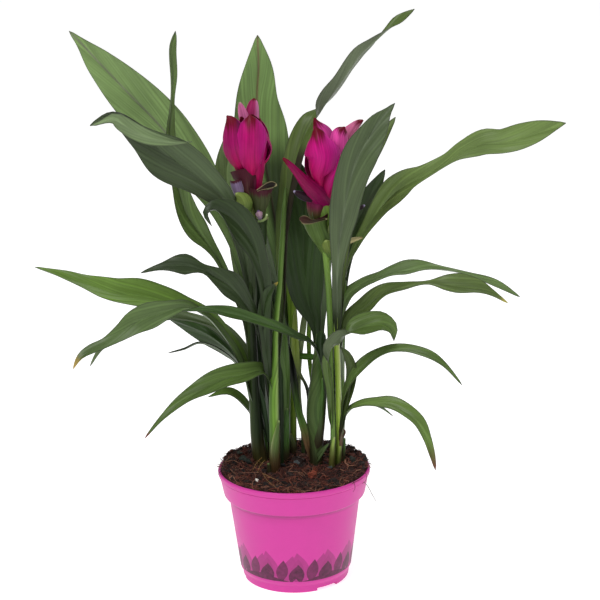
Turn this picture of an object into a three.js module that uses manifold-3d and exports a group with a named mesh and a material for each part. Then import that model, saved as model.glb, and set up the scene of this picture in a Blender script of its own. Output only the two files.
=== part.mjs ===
import * as THREE from "three";
import { mergeVertices } from "three/addons/utils/BufferGeometryUtils.js";
import Module from "manifold-3d";

// A Siam tulip in a 12 cm plastic pot: leafy shoots and two flower heads standing in potting soil.
// Units are millimetres. +Z is up, -Y points to the viewer, and the origin is the middle of the pot's foot.

// Pot: a tapered injection-moulded pot with a deep collar and a notched foot ring.
const POT_HEIGHT = 89;
const RIM_RADIUS = 60;
const COLLAR_HEIGHT = 23;
const COLLAR_FOOT_RADIUS = 55.6;
const BODY_TOP_RADIUS = 51.8;
const FOOT_RADIUS = 42.2;
const RIM_LIP = 2.2;
const WALL = 1.8;
const FOOT_RING_WIDTH = 6;
const BASE_DISC_RADIUS = 20;
const GUTTER_RISE = 3;
const NOTCH = { count: 3, first: 36, halfAngle: 13, height: 2.6 };
const DRAIN = { count: 6, radius: 3.2, ring: 27.5, depth: 30, sides: 8 };
const POT_SIDES = 32;

// Soil: fills the pot to just under the rim, with a lumpy top.
const SEAT_GAP = 0.3;
const SOIL_EDGE = 85;
const SOIL_CROWN = 2.5;
const SOIL_LUMP = 1.4;
const SOIL_RINGS = 5;
const HOLE_PLAY = 0.35;

// Every stem goes this far into the soil.
const FOOT_DEPTH = 22;

const INNER_WALL = [
  [FOOT_RADIUS - WALL - 0.6, GUTTER_RISE + WALL],
  [FOOT_RADIUS - WALL, 6],
  [FOOT_RADIUS - WALL + 1.8, 9.5],
  [BODY_TOP_RADIUS - WALL, POT_HEIGHT - COLLAR_HEIGHT - 3],
  [COLLAR_FOOT_RADIUS - WALL, POT_HEIGHT - COLLAR_HEIGHT + 3],
  [RIM_RADIUS - RIM_LIP, POT_HEIGHT - 1],
];
const SOIL_WALL = [
  ...INNER_WALL.slice(0, -1).map(([r, z], i) => [r - 1.2 * SEAT_GAP, i === 0 ? z + SEAT_GAP : z]),
  [RIM_RADIUS - RIM_LIP - 1.2 * SEAT_GAP - 0.4, SOIL_EDGE],
];

// Plant tissue.
const LEAF_THICK = 0.8;
const BRACT_THICK = 0.9;
const BRACT_SHARES = [0, 0.16, 0.4, 0.68, 0.88, 1];
const BRACT_CREASE = 4;
const CORE_RADIUS = 5;
const STEM_STEPS = 9;
const TUBE_SIDES = 8;

// Where the photographer's lens stood and looked, worked out from the pot's rim and foot.
// Every route below is read on that picture, in its pixels, with a third number in millimetres:
// how far the point lies in front of the pot's axis.
const LENS = {
  across: 7.3,
  back: 1096,
  up: 491,
  tilt: THREE.MathUtils.degToRad(13.68),
  roll: THREE.MathUtils.degToRad(1.11),
  focal: 1467,
  middle: [300, 300],
};

const wasm = await Module();
wasm.setup();

const radians = THREE.MathUtils.degToRad;

function fromPicture(px, py, ahead) {
  const x = (px - LENS.middle[0]) / LENS.focal;
  const y = (LENS.middle[1] - py) / LENS.focal;
  const right = x * Math.cos(LENS.roll) + y * Math.sin(LENS.roll);
  const up = y * Math.cos(LENS.roll) - x * Math.sin(LENS.roll);
  const forward = Math.cos(LENS.tilt) + up * Math.sin(LENS.tilt);
  const rise = up * Math.cos(LENS.tilt) - Math.sin(LENS.tilt);
  const reach = (LENS.back - ahead) / forward;
  return new THREE.Vector3(LENS.across + reach * right, -ahead, LENS.up + reach * rise);
}

// A smooth curve through rows of numbers, spaced by the distance between their first three.
function smoothRows(rows) {
  const knots = [0];
  for (let i = 1; i < rows.length; i++) {
    knots.push(knots[i - 1] + Math.hypot(...[0, 1, 2].map((k) => rows[i][k] - rows[i - 1][k])));
  }
  const length = knots[knots.length - 1];
  const slope = (i, k) => {
    const before = Math.max(i - 1, 0);
    const after = Math.min(i + 1, rows.length - 1);
    return (rows[after][k] - rows[before][k]) / (knots[after] - knots[before]);
  };
  const at = (share) => {
    const distance = THREE.MathUtils.clamp(share, 0, 1) * length;
    let i = 0;
    while (i < rows.length - 2 && knots[i + 1] < distance) i++;
    const span = knots[i + 1] - knots[i];
    const u = (distance - knots[i]) / span;
    const [a, b] = [2 * u ** 3 - 3 * u ** 2 + 1, u ** 3 - 2 * u ** 2 + u];
    const [c, d] = [3 * u ** 2 - 2 * u ** 3, u ** 3 - u ** 2];
    return rows[i].map(
      (value, k) => a * value + b * span * slope(i, k) + c * rows[i + 1][k] + d * span * slope(i + 1, k),
    );
  };
  return { at, length };
}

// The direction in which a route runs at a share of its length.
function heading(path, share) {
  const [ahead, behind] = [path.at(share + 0.01), path.at(share - 0.01)];
  return new THREE.Vector3(...[0, 1, 2].map((k) => ahead[k] - behind[k])).normalize();
}

// A closed mesh from a front grid and a back grid of points, split into triangles alike on both faces.
function stripGeometry(front, back) {
  const rows = front.length;
  const columns = front[0].length;
  const positions = [...front.flat(), ...back.flat()].flatMap((p) => [p.x, p.y, p.z]);
  const index = (side, row, column) => side * rows * columns + row * columns + column;
  const faces = [];
  const quad = (a, b, c, d) => faces.push(a, b, c, a, c, d);
  for (let r = 0; r < rows - 1; r++) {
    for (let c = 0; c < columns - 1; c++) {
      quad(index(0, r, c), index(0, r, c + 1), index(0, r + 1, c + 1), index(0, r + 1, c));
      const [p, q] = [index(1, r, c), index(1, r + 1, c + 1)];
      faces.push(p, q, index(1, r, c + 1), p, index(1, r + 1, c), q);
    }
    quad(index(0, r, 0), index(0, r + 1, 0), index(1, r + 1, 0), index(1, r, 0));
    const last = columns - 1;
    quad(index(0, r, last), index(1, r, last), index(1, r + 1, last), index(0, r + 1, last));
  }
  for (let c = 0; c < columns - 1; c++) {
    const end = rows - 1;
    quad(index(0, 0, c), index(1, 0, c), index(1, 0, c + 1), index(0, 0, c + 1));
    quad(index(0, end, c), index(0, end, c + 1), index(1, end, c + 1), index(1, end, c));
  }
  const geometry = new THREE.BufferGeometry();
  geometry.setAttribute("position", new THREE.BufferAttribute(new Float32Array(positions), 3));
  geometry.setIndex(faces);
  return geometry;
}

// Thickens a grid of points into a closed strip, half to each side of the sheet.
function thicken(grid, thick) {
  const rows = grid.length;
  const columns = grid[0].length;
  const side = (sign) =>
    grid.map((line, r) =>
      line.map((point, c) => {
        const along = grid[Math.min(r + 1, rows - 1)][c].clone().sub(grid[Math.max(r - 1, 0)][c]);
        const over = line[Math.min(c + 1, columns - 1)].clone().sub(line[Math.max(c - 1, 0)]);
        const normal = along.cross(over).normalize();
        return point.clone().addScaledVector(normal, (sign * thick) / 2);
      }),
    );
  return stripGeometry(side(-1), side(1));
}

// The cross-section of a blade: a crease of angle `fold` at the midrib and an even `curl` beyond it.
// `s` runs from -1 to 1. It returns how far across and how far up that point of the half width lies.
function section(s, halfWidth, fold, curl) {
  const reach = Math.abs(s) * halfWidth;
  const bend = Math.abs(s) * curl;
  const scale = Math.abs(bend) < 1e-4 ? 1 : Math.sin(bend / 2) / (bend / 2);
  const heading = fold + bend / 2;
  return [Math.sign(s) * reach * scale * Math.cos(heading), reach * scale * Math.sin(heading)];
}

// A leaf. Rows of the route are [px, py, ahead, width, turn]: turn 0 shows the upper face to the viewer,
// 90 the left edge-on view of a leaf that arches left, -90 that of one that arches right, 180 the underside.
const BROAD_ACROSS = [-1, -0.5, 0, 0.5, 1];
const NARROW_ACROSS = [-1, 0, 1];
const BROAD_FROM = 22;
const SHEATH_FOLD = radians(62);
const SHEATH_SHARE = 0.22;
const STEP_ALONG_LEAF = 27;
const STEPS_LEAST = 5;
const STEPS_MOST = 14;
const EDGE_PHASE = 2;

function leafSheet(leaf, along, across) {
  const rows = leaf.route.map(([px, py, ahead, width, turn]) => [
    ...fromPicture(px, py, ahead).toArray(),
    width,
    turn,
  ]);
  const path = smoothRows(rows);
  const eye = new THREE.Vector3(LENS.across, -LENS.back, LENS.up);
  const grid = [];
  for (let i = 0; i <= along; i++) {
    const share = i / along;
    const [x, y, z, width, turn] = path.at(share);
    const point = new THREE.Vector3(x, y, z);
    const tangent = heading(path, share);
    const toEye = eye.clone().sub(point);
    toEye.addScaledVector(tangent, -toEye.dot(tangent)).normalize();
    const sideways = tangent.clone().cross(toEye);
    const angle = radians(turn);
    const normal = toEye.clone().multiplyScalar(Math.cos(angle)).addScaledVector(sideways, Math.sin(angle));
    const side = tangent.clone().cross(normal);
    const sheath = 1 - THREE.MathUtils.smoothstep(share, 0, SHEATH_SHARE);
    const fold = THREE.MathUtils.lerp(radians(leaf.fold), SHEATH_FOLD, sheath);
    const curl = radians(leaf.curl) * (1 - sheath);
    const [, marginLift] = section(1, width / 2, fold, curl);
    grid.push(
      across.map((s) => {
        const [over, lift] = section(s, Math.max(width, 1) / 2, fold, curl);
        const phase = 2 * Math.PI * leaf.ripples * share + (s > 0 ? 0 : EDGE_PHASE);
        const ripple = leaf.wave * s * s * Math.sin(phase);
        const up = lift - marginLift / 2 + ripple * Math.min(1, width / 20);
        return point.clone().addScaledVector(side, over).addScaledVector(normal, up);
      }),
    );
  }
  return { grid, length: path.length };
}

function leafGeometry(leaf, thick = LEAF_THICK) {
  const { length } = leafSheet(leaf, 1, NARROW_ACROSS);
  const widest = Math.max(...leaf.route.map((row) => row[3]));
  const along = THREE.MathUtils.clamp(Math.round(length / STEP_ALONG_LEAF), STEPS_LEAST, STEPS_MOST);
  return thicken(leafSheet(leaf, along, widest < BROAD_FROM ? NARROW_ACROSS : BROAD_ACROSS).grid, thick);
}

// A round tube through rows of [x, y, z, radius], with flat ends.
function tubeGeometry(rows, steps, sides = TUBE_SIDES) {
  const path = smoothRows(rows);
  const positions = [];
  const faces = [];
  const start = new THREE.Vector3(1, 0, 0);
  for (let i = 0; i <= steps; i++) {
    const [x, y, z, radius] = path.at(i / steps);
    const tangent = heading(path, i / steps);
    const u = start.clone().addScaledVector(tangent, -start.dot(tangent)).normalize();
    const v = tangent.clone().cross(u);
    for (let k = 0; k < sides; k++) {
      const a = (2 * Math.PI * k) / sides;
      const p = new THREE.Vector3(x, y, z).addScaledVector(u, radius * Math.cos(a));
      p.addScaledVector(v, radius * Math.sin(a));
      positions.push(p.x, p.y, p.z);
    }
  }
  for (let i = 0; i < steps; i++) {
    for (let k = 0; k < sides; k++) {
      const [a, b] = [i * sides + k, i * sides + ((k + 1) % sides)];
      const [c, d] = [b + sides, a + sides];
      faces.push(a, b, c, a, c, d);
    }
  }
  for (let k = 1; k < sides - 1; k++) {
    faces.push(0, k + 1, k);
    const top = steps * sides;
    faces.push(top, top + k, top + k + 1);
  }
  const geometry = new THREE.BufferGeometry();
  geometry.setAttribute("position", new THREE.BufferAttribute(new Float32Array(positions), 3));
  geometry.setIndex(faces);
  return geometry;
}

function solid(geometry) {
  const bare = geometry.clone();
  bare.deleteAttribute("normal");
  bare.deleteAttribute("uv");
  const merged = mergeVertices(bare, 1e-4);
  const mesh = new wasm.Mesh({
    numProp: 3,
    vertProperties: new Float32Array(merged.attributes.position.array),
    triVerts: new Uint32Array(merged.index.array),
  });
  return new wasm.Manifold(mesh);
}

function joined(solids) {
  return solids.reduce((sum, next) => sum.add(next));
}

// The biggest body of a solid, without loose scraps.
function mainBody(body) {
  return body.decompose().reduce((best, next) => (next.volume() > best.volume() ? next : best));
}

function geometryOf(body) {
  const mesh = body.getMesh();
  const positions = new Float32Array(mesh.numVert * 3);
  for (let i = 0; i < mesh.numVert; i++) {
    positions.set(mesh.vertProperties.subarray(i * mesh.numProp, i * mesh.numProp + 3), i * 3);
  }
  const geometry = new THREE.BufferGeometry();
  geometry.setAttribute("position", new THREE.BufferAttribute(positions, 3));
  geometry.setIndex(new THREE.BufferAttribute(mesh.triVerts, 1));
  geometry.computeVertexNormals();
  return geometry;
}

// Shoots. Each stands with its foot at [x, y, radius] in the soil, and its stem follows
// [px, py, ahead, radius]. A leaf's route runs from its sheath on the stem to its tip.
const SHOOTS = [
  {
    name: "shoot_left",
    foot: [-26, 10, 5.8],
    stem: [
      [258, 440, -10, 6.5], [256, 390, -11, 5.7], [252, 340, -10, 4.8],
      [250, 300, -9, 3.4], [250, 268, -8, 2.2],
    ],
    leaves: [
      {
        name: "flapped_high_left",
        fold: 12, curl: 12, wave: 2.5, ripples: 1.5,
        route: [
          [252, 340, -9, 7, 60], [250, 285, -6, 10, 35], [241, 237, 5, 14, 25], [224, 200, 18, 19, 10],
          [198, 176, 27, 29, 5], [167, 156, 34, 35.5, -10], [140, 135.5, 37, 21.5, -25],
          [114, 117.5, 39, 11, -20], [90, 125.5, 40, 2, 0],
        ],
      },
      {
        name: "broad_high_left",
        fold: 13, curl: 6, wave: 2, ripples: 1.5,
        route: [
          [253, 350, -12, 7, 40], [248, 290, -19, 10, 35], [234, 240, -25, 13, 30],
          [216, 200, -29, 22, 20], [192, 164.5, -32, 34, 12], [162, 127.5, -35, 39.5, 8],
          [130.5, 95, -38, 35.5, 5], [98, 61.5, -42, 21.5, 0], [80.5, 42.5, -45, 8, 0],
          [69, 31, -48, 1.5, 0],
        ],
      },
      {
        name: "twisted_high_left",
        fold: 20, curl: 0, wave: 1.5, ripples: 2,
        route: [
          [252, 375, -12, 5, 80], [245, 325, -10, 6, 60], [233, 289, -4, 7, 45],
          [218.5, 259, -1, 9, 35], [209, 245, -1, 12, 20], [197, 230, 0, 19, 10],
          [186, 211, 0, 19, 20], [178, 184, 2, 13, 30], [172.5, 158, 2, 13, 40], [170, 135, 2, 11, 50],
          [172, 103, 3, 7, 60], [173.3, 77, 5, 9, 50], [171.8, 48, 7, 10, 48], [175.5, 31, 8, 1.5, 40],
        ],
      },
      {
        name: "long_low_left",
        fold: 14, curl: 10, wave: 2.5, ripples: 2,
        route: [
          [257, 425, -13, 7, 60], [248, 376, -14, 10, 60], [237, 347, -15, 13, 60],
          [219, 322, -15, 15, 58], [202, 310, -14, 15, 50], [183, 304, -11, 18, 45],
          [160, 298, -5, 23, 42], [138, 294, 1, 26, 42], [116, 291, 8, 24.5, 45],
          [94, 285, 12, 21.5, 48], [70, 277.5, 17, 16.5, 50], [35, 267, 24, 1.5, 60],
        ],
      },
      {
        name: "bent_low_left",
        fold: 14, curl: 8, wave: 1.5, ripples: 2,
        route: [
          [257, 430, -11, 6, 85], [247, 380, -8, 9, 75], [235, 350, -2, 12, 62], [214, 322, 9, 11, 65],
          [198, 310, 15, 9, 60], [186, 306, 19, 11, 45], [168, 310, 25, 15, 25],
          [150, 316, 31, 21, 18], [135, 322.5, 37, 19.5, 15], [122, 332, 41, 14, 15],
          [106, 342.5, 45, 9.5, 25], [90.5, 350, 48, 10, 35], [80, 357.5, 52, 7, 45],
          [73, 369, 54, 1.5, 50],
        ],
      },
    ],
  },
  {
    name: "shoot_left_back",
    foot: [-20.5, 30, 4.2],
    stem: [[268, 420, -29, 4.2], [263, 375, -30, 3.8], [257, 335, -29, 3]],
    leaves: [
      {
        name: "upright_back_left",
        fold: 18, curl: 0, wave: 1, ripples: 1.5,
        route: [
          [261, 375, -30, 6, 30], [252, 325, -30, 9, 20], [243, 290, -31, 10, 10], [237.5, 260, -34, 10, 5],
          [233, 225, -39, 12, 5], [227.5, 190, -44, 19, 0], [227, 165, -45, 19, 0], [230, 142, -43, 12, 0],
          [234, 122, -41, 1.5, 0],
        ],
      },
      {
        name: "far_low_left",
        fold: 16, curl: 0, wave: 1.5, ripples: 2,
        route: [
          [264, 400, -30, 7, 80], [248, 360, -31, 14, 50], [223, 331, -32, 20, 52],
          [191, 319, -29, 16, 60], [158, 318, -26, 16, 60], [124, 335, -23, 13, 65],
          [103, 347, -24, 11, 60], [90, 366, -26, 1.5, 60],
        ],
      },
      {
        name: "drooping_low_left",
        fold: 18, curl: 0, wave: 1.5, ripples: 1,
        route: [
          [265, 405, -31, 6, 100], [248, 372, -34, 12, 120], [230, 349, -40, 22, 140],
          [209, 333, -48, 24.5, 150], [188, 324, -56, 17.5, 150], [168, 318, -64, 1.5, 150],
        ],
      },
      {
        name: "thin_low_left",
        fold: 20, curl: 0, wave: 0.5, ripples: 1,
        route: [
          [262, 410, -27, 5, 90], [244, 372, -25, 6, 90], [222, 351, -23, 7, 85],
          [200, 342.5, -21, 6, 80], [184, 349, -22, 4, 70], [168, 353, -22, 1.2, 60],
        ],
      },
      {
        name: "small_low_left",
        fold: 20, curl: 0, wave: 0.5, ripples: 1,
        route: [
          [266, 445, -28, 5, 90], [255, 420, -27, 7, 80], [243, 401, -24, 13, 60],
          [228, 392, -20, 12, 55], [208, 397, -16, 1.5, 60],
        ],
      },
    ],
  },
  {
    name: "shoot_front",
    foot: [-15.1, -8, 4.5],
    stem: [
      [273, 440, 7, 4.3], [274, 400, 8, 4], [275.5, 350, 8, 3.2],
      [279, 305, 7, 2.4], [281, 270, 4, 1.6],
    ],
    leaves: [
      {
        name: "long_top_right",
        fold: 18, curl: 10, wave: 2, ripples: 1.5,
        route: [
          [277, 350, 8, 6, -30], [280, 300, 7, 8, -30], [281, 262, 1, 12, -35],
          [283, 225, -8, 16, -40], [288, 188, -16, 18, -40], [296, 152, -23, 19, -40],
          [304, 133, -27, 19, -42], [312, 119, -29, 19, -58], [320, 107, -31, 18, -112],
          [328, 96.5, -32, 16, -135], [339, 82.5, -34, 13, -138], [351, 64.5, -36, 13, -135],
          [360.5, 52, -38, 11, -138], [372.5, 42, -39, 8, -125], [384.5, 31, -41, 7, -70],
          [397.5, 20.5, -43, 10, -35], [414.5, 9, -46, 1.5, -30],
        ],
      },
      {
        name: "curled_front_left",
        fold: 22, curl: 14, wave: 1, ripples: 1,
        route: [
          [276, 370, 11, 6, 30], [271, 320, 14, 9, 25], [266, 285, 18, 12, 20],
          [257.5, 255, 24, 16, 15], [246, 232, 29, 25, 15], [231, 215, 33, 25, 30],
          [214, 207, 37, 15, 50], [206, 213, 39, 8, 60], [211.5, 226, 40, 1.5, 60],
        ],
      },
      {
        name: "low_bright_left",
        fold: 14, curl: 8, wave: 1.5, ripples: 1,
        route: [
          [274, 430, 6, 5, 85], [273, 392, 7, 8, 85], [264, 370, 10, 14, 60], [243, 373, 16, 20, 45],
          [223, 378, 21, 22, 42], [202, 388, 28, 19.5, 42], [182, 400.5, 35, 13.5, 45],
          [161.5, 419, 44, 6.5, 45], [145, 438, 54, 1.5, 50],
        ],
      },
      {
        name: "dark_middle_left",
        fold: 14, curl: 4, wave: 1.5, ripples: 2,
        route: [
          [273, 405, 8, 5, 80], [269, 365, 10, 7, 70], [258, 325, 14, 10, 45], [245, 302, 18, 14, 35],
          [231, 286, 21, 21, 25], [216, 276, 22, 15, 40], [203, 269, 24, 11, 50],
          [184, 264.5, 25, 20, 34], [160, 267.5, 28, 9, 45], [140.5, 273, 30, 1.5, 50],
        ],
      },
      {
        name: "small_yellow_tip",
        fold: 20, curl: 0, wave: 0.5, ripples: 1,
        route: [
          [273, 425, 10, 5, 0], [269, 380, 13, 5, 0], [265.5, 345, 15, 7, 0], [264, 315, 16, 11, 0],
          [268, 293, 17, 8, 0], [278, 282, 17, 1, 0],
        ],
      },
      {
        name: "sheath_tip_front",
        fold: 40, curl: 20, wave: 0, ripples: 1,
        route: [[275, 470, 8, 7, 0], [276, 450, 11, 8, 0], [277, 435, 12, 6, 0], [279, 421, 12.5, 1, 0]],
      },
    ],
  },
  {
    name: "shoot_centre_back",
    foot: [-0.4, 26, 3.5],
    stem: [[294, 420, -27, 3.5], [294, 370, -29, 3.5], [291, 330, -32, 3.2], [285, 285, -35, 2.2]],
    leaves: [
      {
        name: "tall_centre",
        fold: 12, curl: 8, wave: 2.5, ripples: 2.5,
        route: [
          [292, 340, -32, 8, 0], [286, 290, -37, 11, 0], [278, 240, -40, 16, 0],
          [271, 195, -44, 28, 0], [265, 160, -47, 41, 0], [260.5, 130, -49, 43, 0],
          [257, 100, -50, 34, 0], [258.5, 68, -52, 23, 0], [257.5, 35, -55, 2, 0],
        ],
      },
      {
        name: "leaning_back",
        fold: 14, curl: 6, wave: 2, ripples: 2,
        route: [
          [293, 365, -31, 6, 180], [284, 310, -42, 9, 180], [274, 255, -62, 22, 180],
          [266, 208, -82, 29, 180],
          [262, 170, -98, 22, 180], [262, 140, -110, 10, 180], [264, 122, -116, 1.5, 180],
        ],
      },
    ],
  },
  {
    name: "shoot_middle",
    foot: [17.7, 5, 5],
    stem: [
      [315, 440, -8, 6.4], [317, 400, -11, 7.4], [316, 360, -14, 6],
      [314.5, 330, -17, 4.6], [311, 300, -20, 2.4],
    ],
    leaves: [
      {
        name: "dark_broad_middle",
        fold: 12, curl: 6, wave: 2, ripples: 1.5,
        route: [
          [315, 370, -14, 9, 0], [313, 335, -17, 15, 0], [308, 305, -20, 28, 0],
          [305, 270, -23, 32, 0], [303.5, 235, -25, 28, 0], [302, 198, -28, 20, 0],
          [300, 162, -31, 1.5, 0],
        ],
      },
      {
        name: "crossing_front_left",
        fold: 14, curl: 8, wave: 1, ripples: 1,
        route: [
          [320, 440, -8, 6, 80], [325, 400, -6, 6, 90], [323.5, 372, -3, 6, 90], [317, 350, 4, 7, 80],
          [308, 340, 10, 7, 65], [299, 336.5, 16, 8, 50], [283, 329, 24, 10, 42],
          [265, 322.5, 30, 11, 42], [246, 316.5, 33, 12, 42], [227, 312, 35, 13, 42],
          [205, 309.5, 37, 8, 50], [182, 311, 38, 1.2, 55],
        ],
      },
      {
        name: "leaning_back_right",
        fold: 14, curl: 6, wave: 2, ripples: 2,
        route: [
          [315, 405, -17, 6, 180], [314, 365, -24, 10, 180], [316, 330, -34, 12, 180],
          [316, 285, -56, 23, 180], [316, 240, -78, 28, 180], [319, 200, -98, 20, 180],
          [321, 172, -110, 1.5, 180],
        ],
      },
      {
        name: "leaning_dry_sheath",
        fold: 30, curl: 0, wave: 0.5, ripples: 1,
        route: [
          [314, 468, -6, 6, 0], [307, 438, -8, 8, 0], [298, 408, -12, 6, 0], [293, 372, -16, 6, 0],
          [289, 345, -18, 1.2, 0],
        ],
      },
      {
        name: "strap_behind_middle",
        fold: 16, curl: 0, wave: 0.5, ripples: 1,
        route: [
          [310, 440, -13, 5, 0], [308.5, 410, -15, 6, 0], [306, 393, -16, 7, 0], [301, 381, -17, 6, 0],
          [297, 368, -18, 5, 0], [295, 340, -19, 6, 0], [295, 310, -21, 1.5, 0],
        ],
      },
      {
        name: "small_foot_leaf",
        fold: 25, curl: 0, wave: 0, ripples: 1,
        route: [
          [315, 462, -4, 5, -30], [319, 456, 0, 6, -30], [325, 448, 4, 4, -30],
          [329.5, 443, 6, 1, -30],
        ],
      },
      {
        name: "sheath_tip_middle",
        fold: 35, curl: 20, wave: 0, ripples: 1,
        route: [[314, 450, -4, 8, 0], [318, 420, -2, 9, 0], [320, 398, -2.5, 7, 0], [322, 378, -4, 1, 0]],
      },
    ],
  },
  {
    name: "shoot_right",
    foot: [34.3, 8, 2.8],
    stem: [
      [339, 440, -8, 2.9], [338.5, 405, -6, 2.7],
      [337.5, 369, -3, 2.4], [336, 330, 3, 2.3], [337, 295, 9, 2.1],
    ],
    leaves: [
      {
        name: "front_of_right_flower",
        fold: 14, curl: 8, wave: 2, ripples: 1.5,
        route: [
          [338, 345, 3, 6, 0], [337, 300, 9, 8, 0], [337.5, 268, 15, 9, 0], [340, 238, 22, 16, 0],
          [343.5, 216, 26, 22, 0], [347, 195, 29, 24, 0], [352.5, 173, 31, 26, 5],
          [361, 152, 31, 27, 8], [370.5, 136, 29, 22, 10], [380, 121, 27, 15, 10],
          [388, 111, 25, 6, 10], [395, 103, 24, 1.5, 10],
        ],
      },
      {
        name: "behind_front_right",
        fold: 18, curl: 0, wave: 1, ripples: 1.5,
        route: [
          [341, 320, 5, 5, 0], [342.5, 270, 8, 6, 0], [348.5, 215, 11, 12, 0], [361.5, 172, 13, 14, 0],
          [378.5, 142, 13, 11, 0], [395.5, 117, 13, 2, 0],
        ],
      },
      {
        name: "low_arching_right",
        fold: 16, curl: 6, wave: 1.5, ripples: 2,
        route: [
          [340, 450, -8, 5, -85], [341, 420, -4, 6, -80], [343.5, 397, 0, 7, -70],
          [352.5, 376, 6, 12, -58], [370, 359.5, 13, 13, -52], [388, 350, 19, 11, -50],
          [404, 348.5, 24, 12, -50], [419, 351, 28, 12, -50], [433, 356.5, 32, 9, -50],
          [446, 366.5, 36, 5, -50], [462, 385, 43, 1.5, -50],
        ],
      },
      {
        name: "lowest_right",
        fold: 16, curl: 6, wave: 1.5, ripples: 2,
        route: [
          [340, 455, -8, 5, -85], [342, 426, -4, 5, -80], [347, 410, 2, 7, -70],
          [361, 403.5, 8, 9, -58], [376, 402.5, 14, 11, -50], [391, 404, 20, 15, -45],
          [406, 411.3, 27, 16.5, -42], [419, 422, 34, 13.5, -42], [427, 438.5, 42, 8.5, -40],
          [432, 455, 49, 5.5, -40], [435.5, 470, 57, 1.5, -40],
        ],
      },
      {
        name: "thin_low_right",
        fold: 20, curl: 0, wave: 0.5, ripples: 1,
        route: [
          [340, 445, -11, 5, -85], [344, 418, -14, 5, -80], [354, 406, -18, 6, -75],
          [368, 403, -23, 6, -75], [382, 408, -28, 5, -75], [393, 416, -34, 1.2, -75],
        ],
      },
      {
        name: "hooked_right",
        fold: 16, curl: 6, wave: 0.5, ripples: 1,
        route: [
          [340, 440, -5, 5, -60], [345, 410, 0, 8, -50], [350, 388, 2, 10, -40],
          [352, 370, 3, 10, -30], [348, 356, 3, 7, -20], [341, 347, 3, 1.5, 0],
        ],
      },
    ],
  },
  {
    name: "shoot_right_back",
    foot: [35.5, 25, 3.4],
    stem: [[341.5, 420, -24, 3.2], [341, 370, -23, 3], [342, 320, -21, 2.8], [343.5, 280, -18, 2.2]],
    leaves: [
      {
        name: "big_right",
        fold: 14, curl: 8, wave: 2.5, ripples: 2,
        route: [
          [342, 340, -21, 6, -60], [342.5, 292, -19, 6, -60], [347, 266, -14, 6.5, -55],
          [357.5, 242, -11, 9, -48], [369.5, 222, -8, 12, -40], [381, 206, -4, 16, -35],
          [393, 193, 1, 22, -30], [407, 183, 5, 21, -32], [422, 175.5, 10, 18, -42],
          [444, 163, 16, 19, -52], [461, 151, 21, 23, -47], [483, 142.7, 28, 26, -38],
          [501, 141.5, 34, 22, -36], [523, 136.5, 40, 21, -35], [541, 131, 45, 16, -35],
          [566, 123, 52, 1.5, -40],
        ],
      },
      {
        name: "dark_behind_right",
        fold: 14, curl: 6, wave: 1, ripples: 1,
        route: [
          [343, 325, -23, 5, 0], [344.5, 280, -27, 6, 0], [350, 242, -33, 13, 0],
          [360.5, 216, -39, 20, 0], [372.5, 192, -45, 14, 0], [385, 169.5, -50, 2, 0],
        ],
      },
      {
        name: "upper_arching_right",
        fold: 14, curl: 6, wave: 2, ripples: 2,
        route: [
          [343, 365, -21, 6, -80], [341, 325, -19, 8, -70], [346, 297, -15, 14, -48],
          [361, 284, -12, 11, -50], [380, 276.5, -9, 11, -62], [392, 272, -8, 14, -60],
          [407, 269, -7, 17, -50], [424, 267, -6, 15, -52], [446, 269, -8, 10, -68],
          [469, 274, -11, 7, -62], [496, 283.5, -16, 8, -50], [520, 297, -23, 1.5, -50],
        ],
      },
      {
        name: "lower_arching_right",
        fold: 14, curl: 6, wave: 2.5, ripples: 2.5,
        route: [
          [343, 385, -22, 6, -80], [341, 348, -18, 7, -75], [347, 321, -12, 12, -42],
          [366, 306, -5, 16, -42], [385, 291.5, 1, 18, -46], [406, 286, 7, 13, -56],
          [428, 282.5, 12, 9, -75], [446, 283.5, 14, 15, -48], [461, 285.5, 16, 20, -42],
          [478, 288, 18, 17, -46], [493, 294, 20, 10, -50], [508, 303, 22, 1.5, -50],
        ],
      },
    ],
  },
];

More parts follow.
